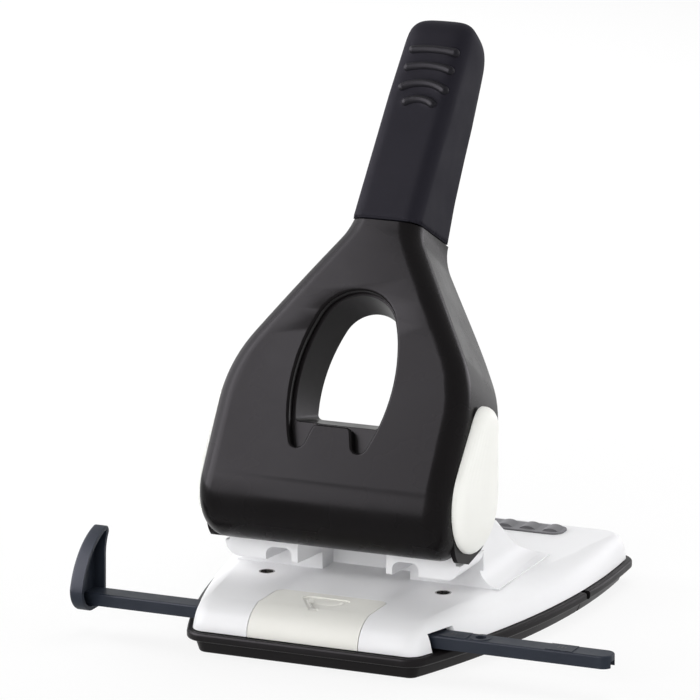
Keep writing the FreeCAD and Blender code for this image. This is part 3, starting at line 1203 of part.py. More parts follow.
def make_guide_key(shell):
    key = shell.common(key_prism(0)).fuse(key_lugs())
    key = key.cut(rod_x(KEY_PIN_Y, KEY_PIN_Z, KEY_PIN_DIA / 2 + RUNNING_FIT, -FAR, FAR))
    dent = Part.makeLoft([key_triangle(KEY_TRIANGLE_INSET, -KEY_TRIANGLE_DEPTH), key_triangle(0, 0.1)], True, True)
    step = prism(key_triangle(-KEY_STEP_WIDTH, -KEY_STEP_DEPTH), Vector(0, 0, COVER_WALL))
    return key.cut(step).cut(dent).removeSplitter()


def make_key_pin():
    return rod_x(KEY_PIN_Y, KEY_PIN_Z, KEY_PIN_DIA / 2, -KEY_HALF - KEY_PIN_OVER, KEY_HALF + KEY_PIN_OVER)


# --- Screws ----------------------------------------------------------------
def screw_up(x, y, head_bottom, tip_z):
    """Cross-recessed screw, head down."""
    head = rod_z(x, y, SCREW_HEAD_DIA / 2, head_bottom, head_bottom + SCREW_HEAD)
    shank = rod_z(x, y, SCREW_DIA / 2, head_bottom, tip_z)
    half = DRIVE_ACROSS / 2
    thin = DRIVE_ACROSS / 6
    slot = box(x - half, x + half, y - thin, y + thin, head_bottom - 1, head_bottom + DRIVE_DEPTH)
    cross = box(x - thin, x + thin, y - half, y + half, head_bottom - 1, head_bottom + DRIVE_DEPTH)
    return head.fuse(shank).cut([slot, cross]).removeSplitter()


def make_housing_screws():
    head_bottom = -COVER_WALL - DIE_PLATE_THICK - SCREW_HEAD
    return Part.Compound([screw_up(x, y, head_bottom, HOUSING_SCREW_DEPTH - 1)
                          for x, y in both_sides(HOUSING_SCREW_XY)])


def make_cover_screws():
    return Part.Compound([screw_up(x, y, FLOOR_Z + 1, -COVER_WALL - 2) for x, y in both_sides(COVER_SCREW_XY)])


def export(name, shape):
    placed = shape.copy()
    placed.translate(Vector(0, -BASE_MIDDLE_Y, BASE_HEIGHT))
    placed.exportStep(os.path.join("parts", name + ".step"))


def main():
    os.makedirs("parts", exist_ok=True)
    shell = cover_shell()
    ring = tray_ring()
    export("base_cover", make_base_cover(shell))
    export("guide_key", make_guide_key(shell))
    export("key_pin", make_key_pin())
    export("rear_pad", make_rear_pad())
    export("chip_tray", make_chip_tray(ring))
    export("tray_rear", make_tray_rear(ring))
    export("tray_hinge_pins", make_tray_hinge_pins())
    export("cover_screws", make_cover_screws())
    export("die_plate", make_die_plate())
    export("punch_housing", make_punch_housing())
    export("housing_screws", make_housing_screws())
    export("press_bar", make_press_bar())
    export("lever_shell", make_lever_shell())
    export("finger_liner", make_finger_liner())
    export("grip_sleeve", make_grip_sleeve())
    export("paper_guide", make_paper_guide())
    export("guide_channel", make_guide_channel())
    export("guide_detent", make_guide_detent())
    right_hand = {"pivot_pin": make_pivot_pin(), "pivot_bush": make_pivot_bush(), "side_cap": make_side_cap()}
    for name, piece in right_hand.items():
        export(name + "_right", piece)
        export(name + "_left", mirrored(piece))
    for side, x in (("left", -DIE_PITCH / 2), ("right", DIE_PITCH / 2)):
        export("die_" + side, make_die(x))
        export("guide_bush_" + side, make_guide_bush(x))
        export("punch_" + side, make_punch(x))
        export("punch_collar_" + side, make_punch_collar(x))
        export("punch_spring_" + side, make_punch_spring(x))


main()
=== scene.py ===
"""Looks of a two-hole desk punch: a tall black lever on a white base with a side guide, key and chip tray."""

import logging
import math
from dataclasses import dataclass, field
from enum import Enum
from typing import Any, Callable, Iterable

import bmesh
import bpy
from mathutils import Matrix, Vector


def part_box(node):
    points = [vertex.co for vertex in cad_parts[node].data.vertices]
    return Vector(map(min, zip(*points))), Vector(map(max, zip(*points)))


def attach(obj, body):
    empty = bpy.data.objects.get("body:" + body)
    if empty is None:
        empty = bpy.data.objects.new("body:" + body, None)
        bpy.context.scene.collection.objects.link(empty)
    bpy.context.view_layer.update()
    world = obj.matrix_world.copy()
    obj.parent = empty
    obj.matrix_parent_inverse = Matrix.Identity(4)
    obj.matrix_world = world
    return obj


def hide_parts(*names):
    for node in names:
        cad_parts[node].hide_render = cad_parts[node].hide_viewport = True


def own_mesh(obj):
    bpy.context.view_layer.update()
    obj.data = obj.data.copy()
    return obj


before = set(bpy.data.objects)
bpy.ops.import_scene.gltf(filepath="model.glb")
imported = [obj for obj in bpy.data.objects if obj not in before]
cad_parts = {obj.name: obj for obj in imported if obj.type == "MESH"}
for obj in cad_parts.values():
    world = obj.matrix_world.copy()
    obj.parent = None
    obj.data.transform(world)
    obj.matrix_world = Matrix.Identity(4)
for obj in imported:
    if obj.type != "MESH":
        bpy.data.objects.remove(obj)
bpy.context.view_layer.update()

logging.basicConfig(level=logging.INFO, format="%(name)s: %(message)s")
LOG = logging.getLogger("paper_drill")

MM = 0.001                       # sizes are given in millimetres, and this turns them to metres
WELD_MM = 0.002                  # points closer than this are one point
CREASE_DEG = 32.0                # faces that meet at more than this stay sharp
MIX_FIRST, MIX_SECOND, MIX_RESULT = 6, 7, 2      # numbers of an RGBA Mix node's colour sockets
WHITE = (1.0, 1.0, 1.0, 1.0)
PUNCH_X_MM, PUNCH_Y_MM = 40.0, -34.15            # the right punch's axis, which the left one mirrors


class Body(Enum):
    """The bodies of the record that a piece can ride on."""

    BASE = "base"
    LEVER = "lever"
    GUIDE = "side_guide"
    TRAY = "tray"
    KEY = "release_key"


class Grain(Enum):
    """How the surface of a finish is broken up."""

    ORANGE_PEEL = "orange peel of sprayed enamel"
    SPARK = "spark-eroded mould grain"
    SOFT_TOUCH = "fine matte skin of moulded rubber"
    TURNED = "rings left by a lathe"
    DRAWN = "lines along a drawn wire or ground bar"


NOISE_DETAIL = {Grain.ORANGE_PEEL: 0.5, Grain.SPARK: 4.0, Grain.SOFT_TOUCH: 2.0, Grain.DRAWN: 3.0}


def linear(hex_colour: str) -> tuple[float, float, float, float]:
    """Turns an sRGB hex colour to the linear values that a shader takes, by the sRGB standard's own curve.

    Args:
        hex_colour: six hex digits after a hash, such as "#f2f2ee".

    Returns:
        Linear red, green, blue and an alpha of 1.
    """
    parts = [int(hex_colour[i:i + 2], 16) / 255 for i in (1, 3, 5)]
    red, green, blue = (p / 12.92 if p <= 0.04045 else ((p + 0.055) / 1.055) ** 2.4 for p in parts)
    return red, green, blue, 1.0


def add_node(tree: bpy.types.NodeTree, kind: str, settings: dict[str, Any] | None = None,
             inputs: dict[str | int, Any] | None = None) -> bpy.types.Node:
    """Adds a node with its settings and links.

    Args:
        tree: the node tree it goes into.
        kind: the node's type name.
        settings: attributes of the node itself.
        inputs: socket name or number to a value, or to another node's output, which is linked.

    Returns:
        The new node.
    """
    node = tree.nodes.new(kind)
    for name, value in (settings or {}).items():
        setattr(node, name, value)
    for name, value in (inputs or {}).items():
        if isinstance(value, bpy.types.NodeSocket):
            tree.links.new(value, node.inputs[name])
        else:
            node.inputs[name].default_value = value
    return node


@dataclass(frozen=True)
class Finish:
    """One surface finish: a colour, a gloss and a grain with a real size."""

    name: str
    colour: str
    roughness: float
    grain: Grain
    grain_mm: float
    grain_depth_mm: float
    second_colour: str           # its blotches, where the colour isn't even
    blotch_mm: float = 30.0
    metallic: float = 0.0
    ior: float = 1.5
    specular: float = 0.5        # the shader's own level, where 0.5 is what the IOR gives
    centre: tuple[float, float, float] = (0.0, 0.0, 0.0)      # in millimetres, where rings have their middle
    rough_spread: float = 0.06   # how far blotches are duller or glossier than the rest
    blotch_span: tuple[float, float] = (0.3, 0.7)      # the noise values between which that spread runs
    blotch_detail: float = 3.0
    blotch_roughness: float = 0.6
    grain_roughness: float = 0.55
    drawn_stretch: float = 0.02  # a drawn grain's coordinates are scaled by this along the wire
    wave_factor: float = 20.0    # by which a wave texture multiplies its coordinates
    ring_wobble: float = 0.6     # how uneven the rings of a turned face are
    ring_detail: float = 2.0

    def grain_height(self, tree: bpy.types.NodeTree, place: bpy.types.NodeSocket) -> bpy.types.NodeSocket:
        """Draws the grain as a height.

        Args:
            tree: the material's node tree.
            place: coordinates in metres.

        Returns:
            The height socket, from 0 to 1.
        """
        scale = 1.0 / (self.grain_mm * MM)
        if self.grain is Grain.TURNED:
            rings = add_node(tree, "ShaderNodeTexWave",
                             {"wave_type": "RINGS", "rings_direction": "Z"},
                             {"Vector": place, "Scale": scale / self.wave_factor,
                              "Distortion": self.ring_wobble, "Detail": self.ring_detail})
            return rings.outputs["Fac"]
        if self.grain is Grain.DRAWN:
            stretch = add_node(tree, "ShaderNodeMapping", None,
                               {"Vector": place, "Scale": (self.drawn_stretch, 1.0, 1.0)})
            place = stretch.outputs["Vector"]
        noise = add_node(tree, "ShaderNodeTexNoise", None,
                         {"Vector": place, "Scale": scale, "Detail": NOISE_DETAIL[self.grain],
                          "Roughness": self.grain_roughness})
        return noise.outputs["Fac"]

    def material(self) -> bpy.types.Material:
        """Builds the material, once for each finish.

        Returns:
            The Blender material.
        """
        made = bpy.data.materials.get(self.name)
        if made:
            return made
        made = bpy.data.materials.new(self.name)
        made.use_nodes = True
        tree = made.node_tree
        tree.nodes.clear()
        coords = add_node(tree, "ShaderNodeTexCoord")
        centred = add_node(tree, "ShaderNodeMapping", None,
                           {"Vector": coords.outputs["Object"],
                            "Location": tuple(-c * MM for c in self.centre)})
        place = centred.outputs["Vector"]
        height = self.grain_height(tree, place)
        bump = add_node(tree, "ShaderNodeBump", None,
                        {"Height": height, "Strength": 1.0, "Distance": self.grain_depth_mm * MM})
        blotch = add_node(tree, "ShaderNodeTexNoise", None,
                          {"Vector": place, "Scale": 1.0 / (self.blotch_mm * MM),
                           "Detail": self.blotch_detail, "Roughness": self.blotch_roughness})
        low, high = self.blotch_span
        gloss = add_node(tree, "ShaderNodeMapRange", None,
                         {"Value": blotch.outputs["Fac"], "From Min": low, "From Max": high,
                          "To Min": self.roughness - self.rough_spread,
                          "To Max": self.roughness + self.rough_spread})
        tint = add_node(tree, "ShaderNodeMix", {"data_type": "RGBA"},
                        {"Factor": blotch.outputs["Fac"], MIX_FIRST: linear(self.colour),
                         MIX_SECOND: linear(self.second_colour)})
        shader = add_node(tree, "ShaderNodeBsdfPrincipled", None,
                          {"Base Color": tint.outputs[MIX_RESULT], "Roughness": gloss.outputs["Result"],
                           "Normal": bump.outputs["Normal"], "Metallic": self.metallic, "IOR": self.ior,
                           "Specular IOR Level": self.specular})
        add_node(tree, "ShaderNodeOutputMaterial", None, {"Surface": shader.outputs["BSDF"]})
        return made


# Sprayed stoving enamel on pressed steel: near-black and smooth, with long soft highlights and a faint orange
# peel.
BLACK_ENAMEL = Finish("black_stoving_enamel", "#0e0c0d", 0.27, Grain.ORANGE_PEEL, 1.6, 0.0035, "#100e0f",
                      specular=0.07)
# Moulded soft-touch elastomer: matte, slightly blue, drinks the light. Its real grain of 0.1 mm is drawn at
# 0.7 mm so that it shows.
GRIP_RUBBER = Finish("soft_touch_elastomer", "#201f25", 0.55, Grain.SOFT_TOUCH, 0.7, 0.018, "#222127",
                     blotch_mm=18.0, specular=0.03)
# The same elastomer where palms have polished the ribs, with a soft line of light on each crown. It is a
# little darker: that is painted shade, for the dark outline that shadow gives each rib.
RIB_RUBBER = Finish("polished_elastomer_painted_shade", "#1a191d", 0.38, Grain.SOFT_TOUCH, 0.7, 0.012, "#1c1b1f",
                    blotch_mm=18.0, specular=0.08)
# Injection-moulded polystyrene with a spark grain: dull black. The real grain of 0.1 mm is drawn at 0.9 mm so
# that it shows.
BLACK_STYRENE = Finish("black_moulded_styrene", "#141213", 0.36, Grain.SPARK, 0.9, 0.012, "#181617",
                       blotch_mm=25.0, specular=0.1)
# White powder enamel on pressed and cast metal: smooth satin, a cool white.
WHITE_ENAMEL = Finish("white_satin_enamel", "#ececed", 0.34, Grain.ORANGE_PEEL, 2.2, 0.004, "#e9e9eb",
                      specular=0.08)
# Off-white ABS, injection-moulded: low sheen, a little warmer than the enamel.
WHITE_ABS = Finish("white_moulded_abs", "#f0f0ec", 0.4, Grain.SOFT_TOUCH, 0.8, 0.006, "#edede8",
                   blotch_mm=20.0, specular=0.08)
# The same plastic in a warmer white, so that the key stands out from the cover.
KEY_ABS = Finish("warm_white_abs", "#e8e7e1", 0.42, Grain.SOFT_TOUCH, 0.8, 0.006, "#e4e3dd",
                 blotch_mm=15.0, specular=0.08)
# Glass-filled nylon, injection-moulded: slate, satin, with an eroded grain that shows.
SLATE_NYLON = Finish("slate_glass_filled_nylon", "#23272f", 0.45, Grain.SPARK, 0.8, 0.02, "#272c35",
                     blotch_mm=12.0, specular=0.12)
# Pad-printed ink: flat, nearly black.
MARK_INK = Finish("pad_printed_ink", "#07080a", 0.4, Grain.SOFT_TOUCH, 0.6, 0.004, "#07080a", specular=0.3)
# Moulded hard nitrile: dull black, smooth on its ribs.
PAD_RUBBER = Finish("pad_rubber", "#191718", 0.42, Grain.SOFT_TOUCH, 0.8, 0.015, "#1d1b1c",
                    blotch_mm=10.0, specular=0.15)
# Turned tool steel: bright, with lathe rings round the axis of each punch. Metals keep the default IOR.
LEFT_TURNED, RIGHT_TURNED = (
    Finish(f"turned_steel_{side}", "#b4b2ae", 0.24, Grain.TURNED, 0.3, 0.006, "#a5a39f",
           blotch_mm=4.0, metallic=1.0, centre=(x, PUNCH_Y_MM, 0.0))
    for side, x in (("left", -PUNCH_X_MM), ("right", PUNCH_X_MM)))
# Ground steel bar: fine lines along it.
GROUND_STEEL = Finish("ground_steel", "#b9b8b6", 0.28, Grain.DRAWN, 0.3, 0.004, "#aaa9a7",
                      blotch_mm=8.0, metallic=1.0)
# Zinc-plated mild steel: grey, slightly blue and cloudy.
ZINC_PLATE = Finish("zinc_plated_steel", "#a9abb0", 0.36, Grain.SOFT_TOUCH, 0.5, 0.006, "#9c9ea6",
                    blotch_mm=5.0, metallic=1.0)
# Drawn spring steel: darker, with lines along the wire.
SPRING_WIRE = Finish("drawn_spring_wire", "#8d8c8a", 0.3, Grain.DRAWN, 0.25, 0.004, "#7c7b7a",
                     blotch_mm=5.0, metallic=1.0)
# Turned brass: warm and satin.
BEARING_BRASS = Finish("turned_bearing_brass", "#c9a765", 0.3, Grain.DRAWN, 0.25, 0.004, "#b99657",
                       blotch_mm=5.0, metallic=1.0)


@dataclass(frozen=True)
class Dress:
    """What a finished copy of a CAD node gets: its finish, record slot, edge rounding and creases."""

    finish: Finish
    slot: str
    edge_mm: float
    crease_deg: float = CREASE_DEG


def keep_result(piece: bpy.types.Object) -> None:
    """Turns what a piece's modifiers make to its own mesh.

    Args:
        piece: the object. Its modifiers are gone afterwards.
    """
    bpy.context.view_layer.update()
    ready = piece.evaluated_get(bpy.context.evaluated_depsgraph_get())
    mesh = bpy.data.meshes.new_from_object(ready)
    piece.modifiers.clear()
    piece.data = mesh


@dataclass
class Dresser:
    """Turns CAD nodes to finished pieces and keeps the list of what was made."""

    flat_mm2: float = 700.0      # faces in one plane that together are larger than this are a flat
    same_plane_deg: float = 0.4  # triangles that differ by less than this become one face
    normal_digits: int = 2       # faces are in one plane if their normals agree to this many digits,
    level_digits: int = 1        # and their planes' distances from the origin to this many, in millimetres
    edge_segments: int = 3
    made: list[bpy.types.Object] = field(default_factory=list)

    def place(self, piece: bpy.types.Object, body: Body, slot: str) -> None:
        """Puts a finished piece on its body.

        Args:
            piece: the object, already in place.
            body: what it moves with.
            slot: not used.
        """
        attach(piece, body.value)
        self.made.append(piece)
        LOG.info("piece %s rides on %s", piece.name, body.value)

    def new_piece(self, name: str, mesh: bpy.types.Mesh, finish: Finish) -> bpy.types.Object:
        """Makes an object at the origin from a mesh.

        Args:
            name: the piece's name.
            mesh: its mesh, in the row frame.
            finish: its surface finish.

        Returns:
            The new object, in the scene.
        """
        piece = bpy.data.objects.new(name, mesh)
        mesh.materials.clear()
        mesh.materials.append(finish.material())
        bpy.context.scene.collection.objects.link(piece)
        return piece

    def smooth(self, mesh: bpy.types.Mesh, crease_deg: float) -> None:
        """Shades a mesh smooth between its creases.

        Args:
            mesh: the mesh.
            crease_deg: faces that meet at more than this stay sharp.
        """
        mesh.polygons.foreach_set("use_smooth", [True] * len(mesh.polygons))
        mesh.set_sharp_from_angle(angle=math.radians(crease_deg))

    def level_flats(self, mesh: bpy.types.Mesh, crease_deg: float) -> None:
        """Keeps large flat faces flat in their shading, so that only the roundings beside them shade.

        Args:
            mesh: the mesh, with its edges rounded.
            crease_deg: faces that meet a flat at more than this don't blend into it.
        """
        planes: dict[tuple[float, ...], list[int]] = {}
        for face in mesh.polygons:
            level = face.normal.dot(face.center) / MM
            plane = (*(round(part, self.normal_digits) for part in face.normal),
                     round(level, self.level_digits))
            planes.setdefault(plane, []).append(face.index)
        flat_of: dict[int, Vector] = {}
        for faces in planes.values():
            if sum(mesh.polygons[index].area for index in faces) < self.flat_mm2 * MM * MM:
                continue
            for index in faces:
                for vertex in mesh.polygons[index].vertices:
                    flat_of[vertex] = mesh.polygons[index].normal.copy()
        keep_auto = Vector((0.0, 0.0, 0.0))
        limit = math.cos(math.radians(crease_deg))
        normals = [keep_auto] * len(mesh.loops)
        for face in mesh.polygons:
            for loop in face.loop_indices:
                flat = flat_of.get(mesh.loops[loop].vertex_index)
                if flat is not None and flat.dot(face.normal) > limit:
                    normals[loop] = flat
        mesh.normals_split_custom_set(normals)

    def merged_copy(self, node: str) -> bpy.types.Mesh:
        """Copies a CAD node's loose triangles and joins them to a closed mesh with whole flat faces.

        Args:
            node: the node's name.

        Returns:
            The new mesh.
        """
        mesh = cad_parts[node].data.copy()
        if "custom_normal" in mesh.attributes:
            mesh.attributes.remove(mesh.attributes["custom_normal"])
        work = bmesh.new()
        work.from_mesh(mesh)
        bmesh.ops.remove_doubles(work, verts=work.verts, dist=WELD_MM * MM)
        bmesh.ops.dissolve_limit(work, angle_limit=math.radians(self.same_plane_deg), verts=work.verts,
                                 edges=work.edges)
        work.to_mesh(mesh)
        work.free()
        return mesh

    def polish(self, node: str, body: Body, dress: Dress,
               reshape: Callable[[bpy.types.Mesh], None] | None = None) -> None:
        """Replaces a CAD node by a copy with rounded edges and smooth shading.

        Args:
            node: the node's name.
            body: what it moves with.
            dress: its finish, slot and edge rounding.
            reshape: what changes the copy before its edges are rounded.
        """
        mesh = self.merged_copy(node)
        if reshape:
            reshape(mesh)
        piece = self.new_piece(f"{node}_finished", mesh, dress.finish)
        self.smooth(mesh, dress.crease_deg)
        bevel = piece.modifiers.new("edge", "BEVEL")
        bevel.width = dress.edge_mm * MM
        bevel.segments = self.edge_segments
        bevel.limit_method = "ANGLE"
        bevel.angle_limit = math.radians(dress.crease_deg)
        bevel.harden_normals = True
        bevel.use_clamp_overlap = True
        keep_result(piece)
        self.level_flats(piece.data, dress.crease_deg)
        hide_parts(node)
        self.place(piece, body, dress.slot)

    def paint(self, nodes: Iterable[str], finish: Finish) -> None:
        """Gives CAD nodes that stay as they are a finish and smooth shading.

        Args:
            nodes: the nodes' names.
            finish: their finish.
        """
        for name in nodes:
            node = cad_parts[name]
            node.data.materials.clear()
            node.data.materials.append(finish.material())
            node.data.polygons.foreach_set("use_smooth", [True] * len(node.data.polygons))
            weld = node.modifiers.new("weld", "WELD")
            weld.merge_threshold = WELD_MM * MM
            split = node.modifiers.new("creases", "EDGE_SPLIT")
            split.split_angle = math.radians(CREASE_DEG)
            split.use_edge_sharp = False
            LOG.info("node %s keeps its shape in %s", name, finish.name)


class GrownPart:
    """A piece that Geometry Nodes grow from named sizes."""

    def __init__(self, name: str, finish: Finish) -> None:
        """Starts the tree.

        Args:
            name: the piece's name.
            finish: the finish that Set Material gives at the end.
        """
        self.name = name
        self.finish = finish
        self.tree = bpy.data.node_groups.new(f"{name}_tree", "GeometryNodeTree")
        self.tree.interface.new_socket("Geometry", in_out="OUTPUT", socket_type="NodeSocketGeometry")
        self.sizes: dict[str, float | int] = {}

    def node(self, kind: str, settings: dict[str, Any] | None = None,
             inputs: dict[str | int, Any] | None = None) -> bpy.types.Node:
        """Adds a node to the tree; see add_node."""
        return add_node(self.tree, kind, settings, inputs)

    def sized(self, sizes: dict[str, float | int]) -> Any:
        """Adds named inputs.

        Args:
            sizes: each input's name and value, in metres, radians or a count.

        Returns:
            The sockets that give them inside the tree, by name.
        """
        for label, value in sizes.items():
            kind = "NodeSocketInt" if isinstance(value, int) else "NodeSocketFloat"
            socket = self.tree.interface.new_socket(label, in_out="INPUT", socket_type=kind)
            self.sizes[socket.identifier] = value
        return self.node("NodeGroupInput").outputs

    def vector(self, x: Any = 0.0, y: Any = 0.0, z: Any = 0.0) -> bpy.types.NodeSocket:
        """Puts a vector together from numbers or sockets."""
        return self.node("ShaderNodeCombineXYZ", None, {"X": x, "Y": y, "Z": z}).outputs["Vector"]

    def joined(self, shapes: Iterable[bpy.types.NodeSocket]) -> bpy.types.NodeSocket:
        """Joins shapes to one.

        Args:
            shapes: the geometry sockets, in their order.

        Returns:
            The joined geometry.
        """
        join = self.node("GeometryNodeJoinGeometry")
        for shape in shapes:
            self.tree.links.new(shape, join.inputs[0])
        return join.outputs["Geometry"]

    def moved(self, shape: bpy.types.NodeSocket, to: Any,
              turn: Any = (0.0, 0.0, 0.0)) -> bpy.types.NodeSocket:
        """Turns and moves a shape.

        Args:
            shape: the geometry.
            to: where its origin goes, as a socket or numbers in metres.
            turn: its rotation, in radians.

        Returns:
            The moved geometry.
        """
        return self.node("GeometryNodeTransform", None,
                         {"Geometry": shape, "Translation": to, "Rotation": turn}).outputs["Geometry"]

    def swept(self, paths: bpy.types.NodeSocket, steps: Any, radius: Any) -> bpy.types.NodeSocket:
        """Makes a round bar along paths.

        Args:
            paths: the curves.
            steps: corners of the bar's section.
            radius: the bar's radius.

        Returns:
            The mesh, with its ends closed.
        """
        section = self.node("GeometryNodeCurvePrimitiveCircle", {"mode": "RADIUS"},
                            {"Resolution": steps, "Radius": radius})
        return self.node("GeometryNodeCurveToMesh", None,
                         {"Curve": paths, "Profile Curve": section.outputs["Curve"],
                          "Fill Caps": True}).outputs["Mesh"]

    def grow(self, geometry: bpy.types.NodeSocket, smooth: bool) -> bpy.types.Mesh:
        """Ends the tree, evaluates it once and returns a plain mesh.

        Args:
            geometry: what the tree has made.
            smooth: whether its faces are shaded smooth.

        Returns:
            The resulting mesh.
        """
        real = self.node("GeometryNodeRealizeInstances", None, {"Geometry": geometry})
        shade = self.node("GeometryNodeSetShadeSmooth", None,
                          {"Geometry": real.outputs["Geometry"], "Shade Smooth": smooth})
        coat = self.node("GeometryNodeSetMaterial", None,
                         {"Geometry": shade.outputs["Geometry"], "Material": self.finish.material()})
        self.node("NodeGroupOutput", None, {"Geometry": coat.outputs["Geometry"]})
        seed = bpy.data.objects.new(f"{self.name}_seed", bpy.data.meshes.new(f"{self.name}_seed"))
        bpy.context.scene.collection.objects.link(seed)
        modifier = seed.modifiers.new("grow", "NODES")
        modifier.node_group = self.tree
        for identifier, value in self.sizes.items():
            modifier[identifier] = value
        bpy.context.view_layer.update()
        ready = seed.evaluated_get(bpy.context.evaluated_depsgraph_get())
        mesh = bpy.data.meshes.new_from_object(ready)
        mesh.name = self.name
        seed.modifiers.remove(modifier)
        bpy.data.objects.remove(seed)
        return mesh


@dataclass
class PunchUnit:
    """One of the two punches: die, bush, punch, collar and spring."""

    side: str
    finish: Finish
    coil_radius_mm: float = 4.25
    wire_mm: float = 1.1
    turns: float = 6.0
    steps_per_turn: int = 28
    wire_steps: int = 12
    travel_mm: float = 12.372    # how far down the lever's whole swing drives the punch

    def spring_mesh(self, centre: Vector, bottom: float, top: float) -> bpy.types.Mesh:
        """Winds the spring: a helix between two closed end rings.

        Args:
            centre: a point on the punch's axis.
            bottom: height of the lower end, in metres.
            top: height of the upper end.

        Returns:
            The mesh, in the row frame.
        """
        part = GrownPart(f"spring_coil_{self.side}", SPRING_WIRE)
        wire = self.wire_mm * MM
        given = part.sized({"Coil radius": self.coil_radius_mm * MM, "Rise": top - bottom - 2 * wire,
                            "Turns": self.turns, "Wire radius": wire / 2, "Wire steps": self.wire_steps,
                            "Steps per turn": self.steps_per_turn})
        helix = part.node("GeometryNodeCurveSpiral", None,
                          {"Resolution": given["Steps per turn"], "Rotations": given["Turns"],
                           "Start Radius": given["Coil radius"], "End Radius": given["Coil radius"],
                           "Height": given["Rise"]})
        ring = part.node("GeometryNodeCurvePrimitiveCircle", {"mode": "RADIUS"},
                         {"Resolution": given["Steps per turn"], "Radius": given["Coil radius"]})
        lifted = part.moved(ring.outputs["Curve"], part.vector(z=given["Rise"]))
        wound = part.joined((helix.outputs["Curve"], ring.outputs["Curve"], lifted))
        drawn = part.swept(wound, given["Wire steps"], given["Wire radius"])
        return part.grow(part.moved(drawn, (centre.x, centre.y, bottom + wire)), smooth=True)

    def build(self, dresser: Dresser) -> None:
        """Dresses the unit's nodes and winds its spring.

        Args:
            dresser: what places the pieces.
        """
        side = self.side
        dresser.paint((f"die_{side}", f"punch_{side}", f"punch_collar_{side}"), self.finish)
        dresser.paint((f"guide_bush_{side}", f"pivot_bush_{side}"), BEARING_BRASS)
        low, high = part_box(f"punch_spring_{side}")
        mesh = self.spring_mesh((low + high) / 2, low.z, high.z)
        coil = dresser.new_piece(f"spring_coil_{side}", mesh, SPRING_WIRE)
        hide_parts(f"punch_spring_{side}")
        dresser.place(coil, Body.BASE, "spring_steel")
        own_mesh(coil)


@dataclass
class BaseUnit:
    """The white cover, its key and pad, and the two black trays under it."""

    cover: Dress = field(default_factory=lambda: Dress(WHITE_ENAMEL, "white_paint", 0.35))
    housing: Dress = field(default_factory=lambda: Dress(WHITE_ENAMEL, "white_paint", 0.5))
    key: Dress = field(default_factory=lambda: Dress(KEY_ABS, "key_plastic", 0.2))
    tray: Dress = field(default_factory=lambda: Dress(BLACK_STYRENE, "black_plastic", 0.3))
    pad: Dress = field(default_factory=lambda: Dress(PAD_RUBBER, "pad_rubber", 0.2))
    dent_half_mm: float = 15.0   # the dent lies in a triangle with this half width at its rear,
    dent_y_mm: tuple[float, float] = (-84.0, -59.0)      # and with its tip and its rear here
    dent_floor_z_mm: float = 20.3
    dent_step_z_mm: float = 21.75
    same_level_mm: float = 0.05
    floor_shift_mm: float = 2.0
    floor_drop_mm: float = 0.25
    step_drop_mm: float = 0.35

    def sharpen_dent(self, mesh: bpy.types.Mesh) -> None:
        """Steepens the left wall of the key's dent and deepens the step round it.

        Args:
            mesh: the key, before its edges are rounded.
        """
        front, rear = self.dent_y_mm
        for vertex in mesh.vertices:
            reach = (vertex.co.y / MM - front) / (rear - front)
            if not 0.0 < reach < 1.0 or abs(vertex.co.x) >= self.dent_half_mm * MM * reach:
                continue
            if abs(vertex.co.z - self.dent_floor_z_mm * MM) < self.same_level_mm * MM:
                vertex.co.x -= self.floor_shift_mm * MM
                vertex.co.z -= self.floor_drop_mm * MM
            elif abs(vertex.co.z - self.dent_step_z_mm * MM) < self.same_level_mm * MM:
                vertex.co.z -= self.step_drop_mm * MM

    def build(self, dresser: Dresser) -> None:
        """Dresses every node of the base.

        Args:
            dresser: what places the pieces.
        """
        dresser.polish("base_cover", Body.BASE, self.cover)
        dresser.polish("punch_housing", Body.BASE, self.housing)
        dresser.polish("guide_key", Body.KEY, self.key, self.sharpen_dent)
        dresser.polish("chip_tray", Body.TRAY, self.tray)
        dresser.polish("tray_rear", Body.BASE, self.tray)
        dresser.polish("rear_pad", Body.BASE, self.pad)
        dresser.paint(("guide_channel",), BLACK_STYRENE)
        dresser.paint(("key_pin", "tray_hinge_pins", "die_plate", "cover_screws", "housing_screws"),
                      ZINC_PLATE)
        dresser.paint(("guide_detent",), SPRING_WIRE)


@dataclass
class LeverUnit:
    """The black lever with its liner, caps and press bar."""

    shell: Dress = field(default_factory=lambda: Dress(BLACK_ENAMEL, "black_paint", 0.35))
    liner: Dress = field(default_factory=lambda: Dress(BLACK_STYRENE, "black_plastic", 0.3))
    cap: Dress = field(default_factory=lambda: Dress(WHITE_ABS, "white_plastic", 0.25))

    def build(self, dresser: Dresser) -> None:
        """Dresses every node of the lever.

        Args:
            dresser: what places the pieces.
        """
        dresser.polish("lever_shell", Body.LEVER, self.shell)
        dresser.polish("finger_liner", Body.LEVER, self.liner)
        for side in ("left", "right"):
            dresser.polish(f"side_cap_{side}", Body.LEVER, self.cap)
        dresser.paint(("press_bar", "pivot_pin_left", "pivot_pin_right"), GROUND_STEEL)


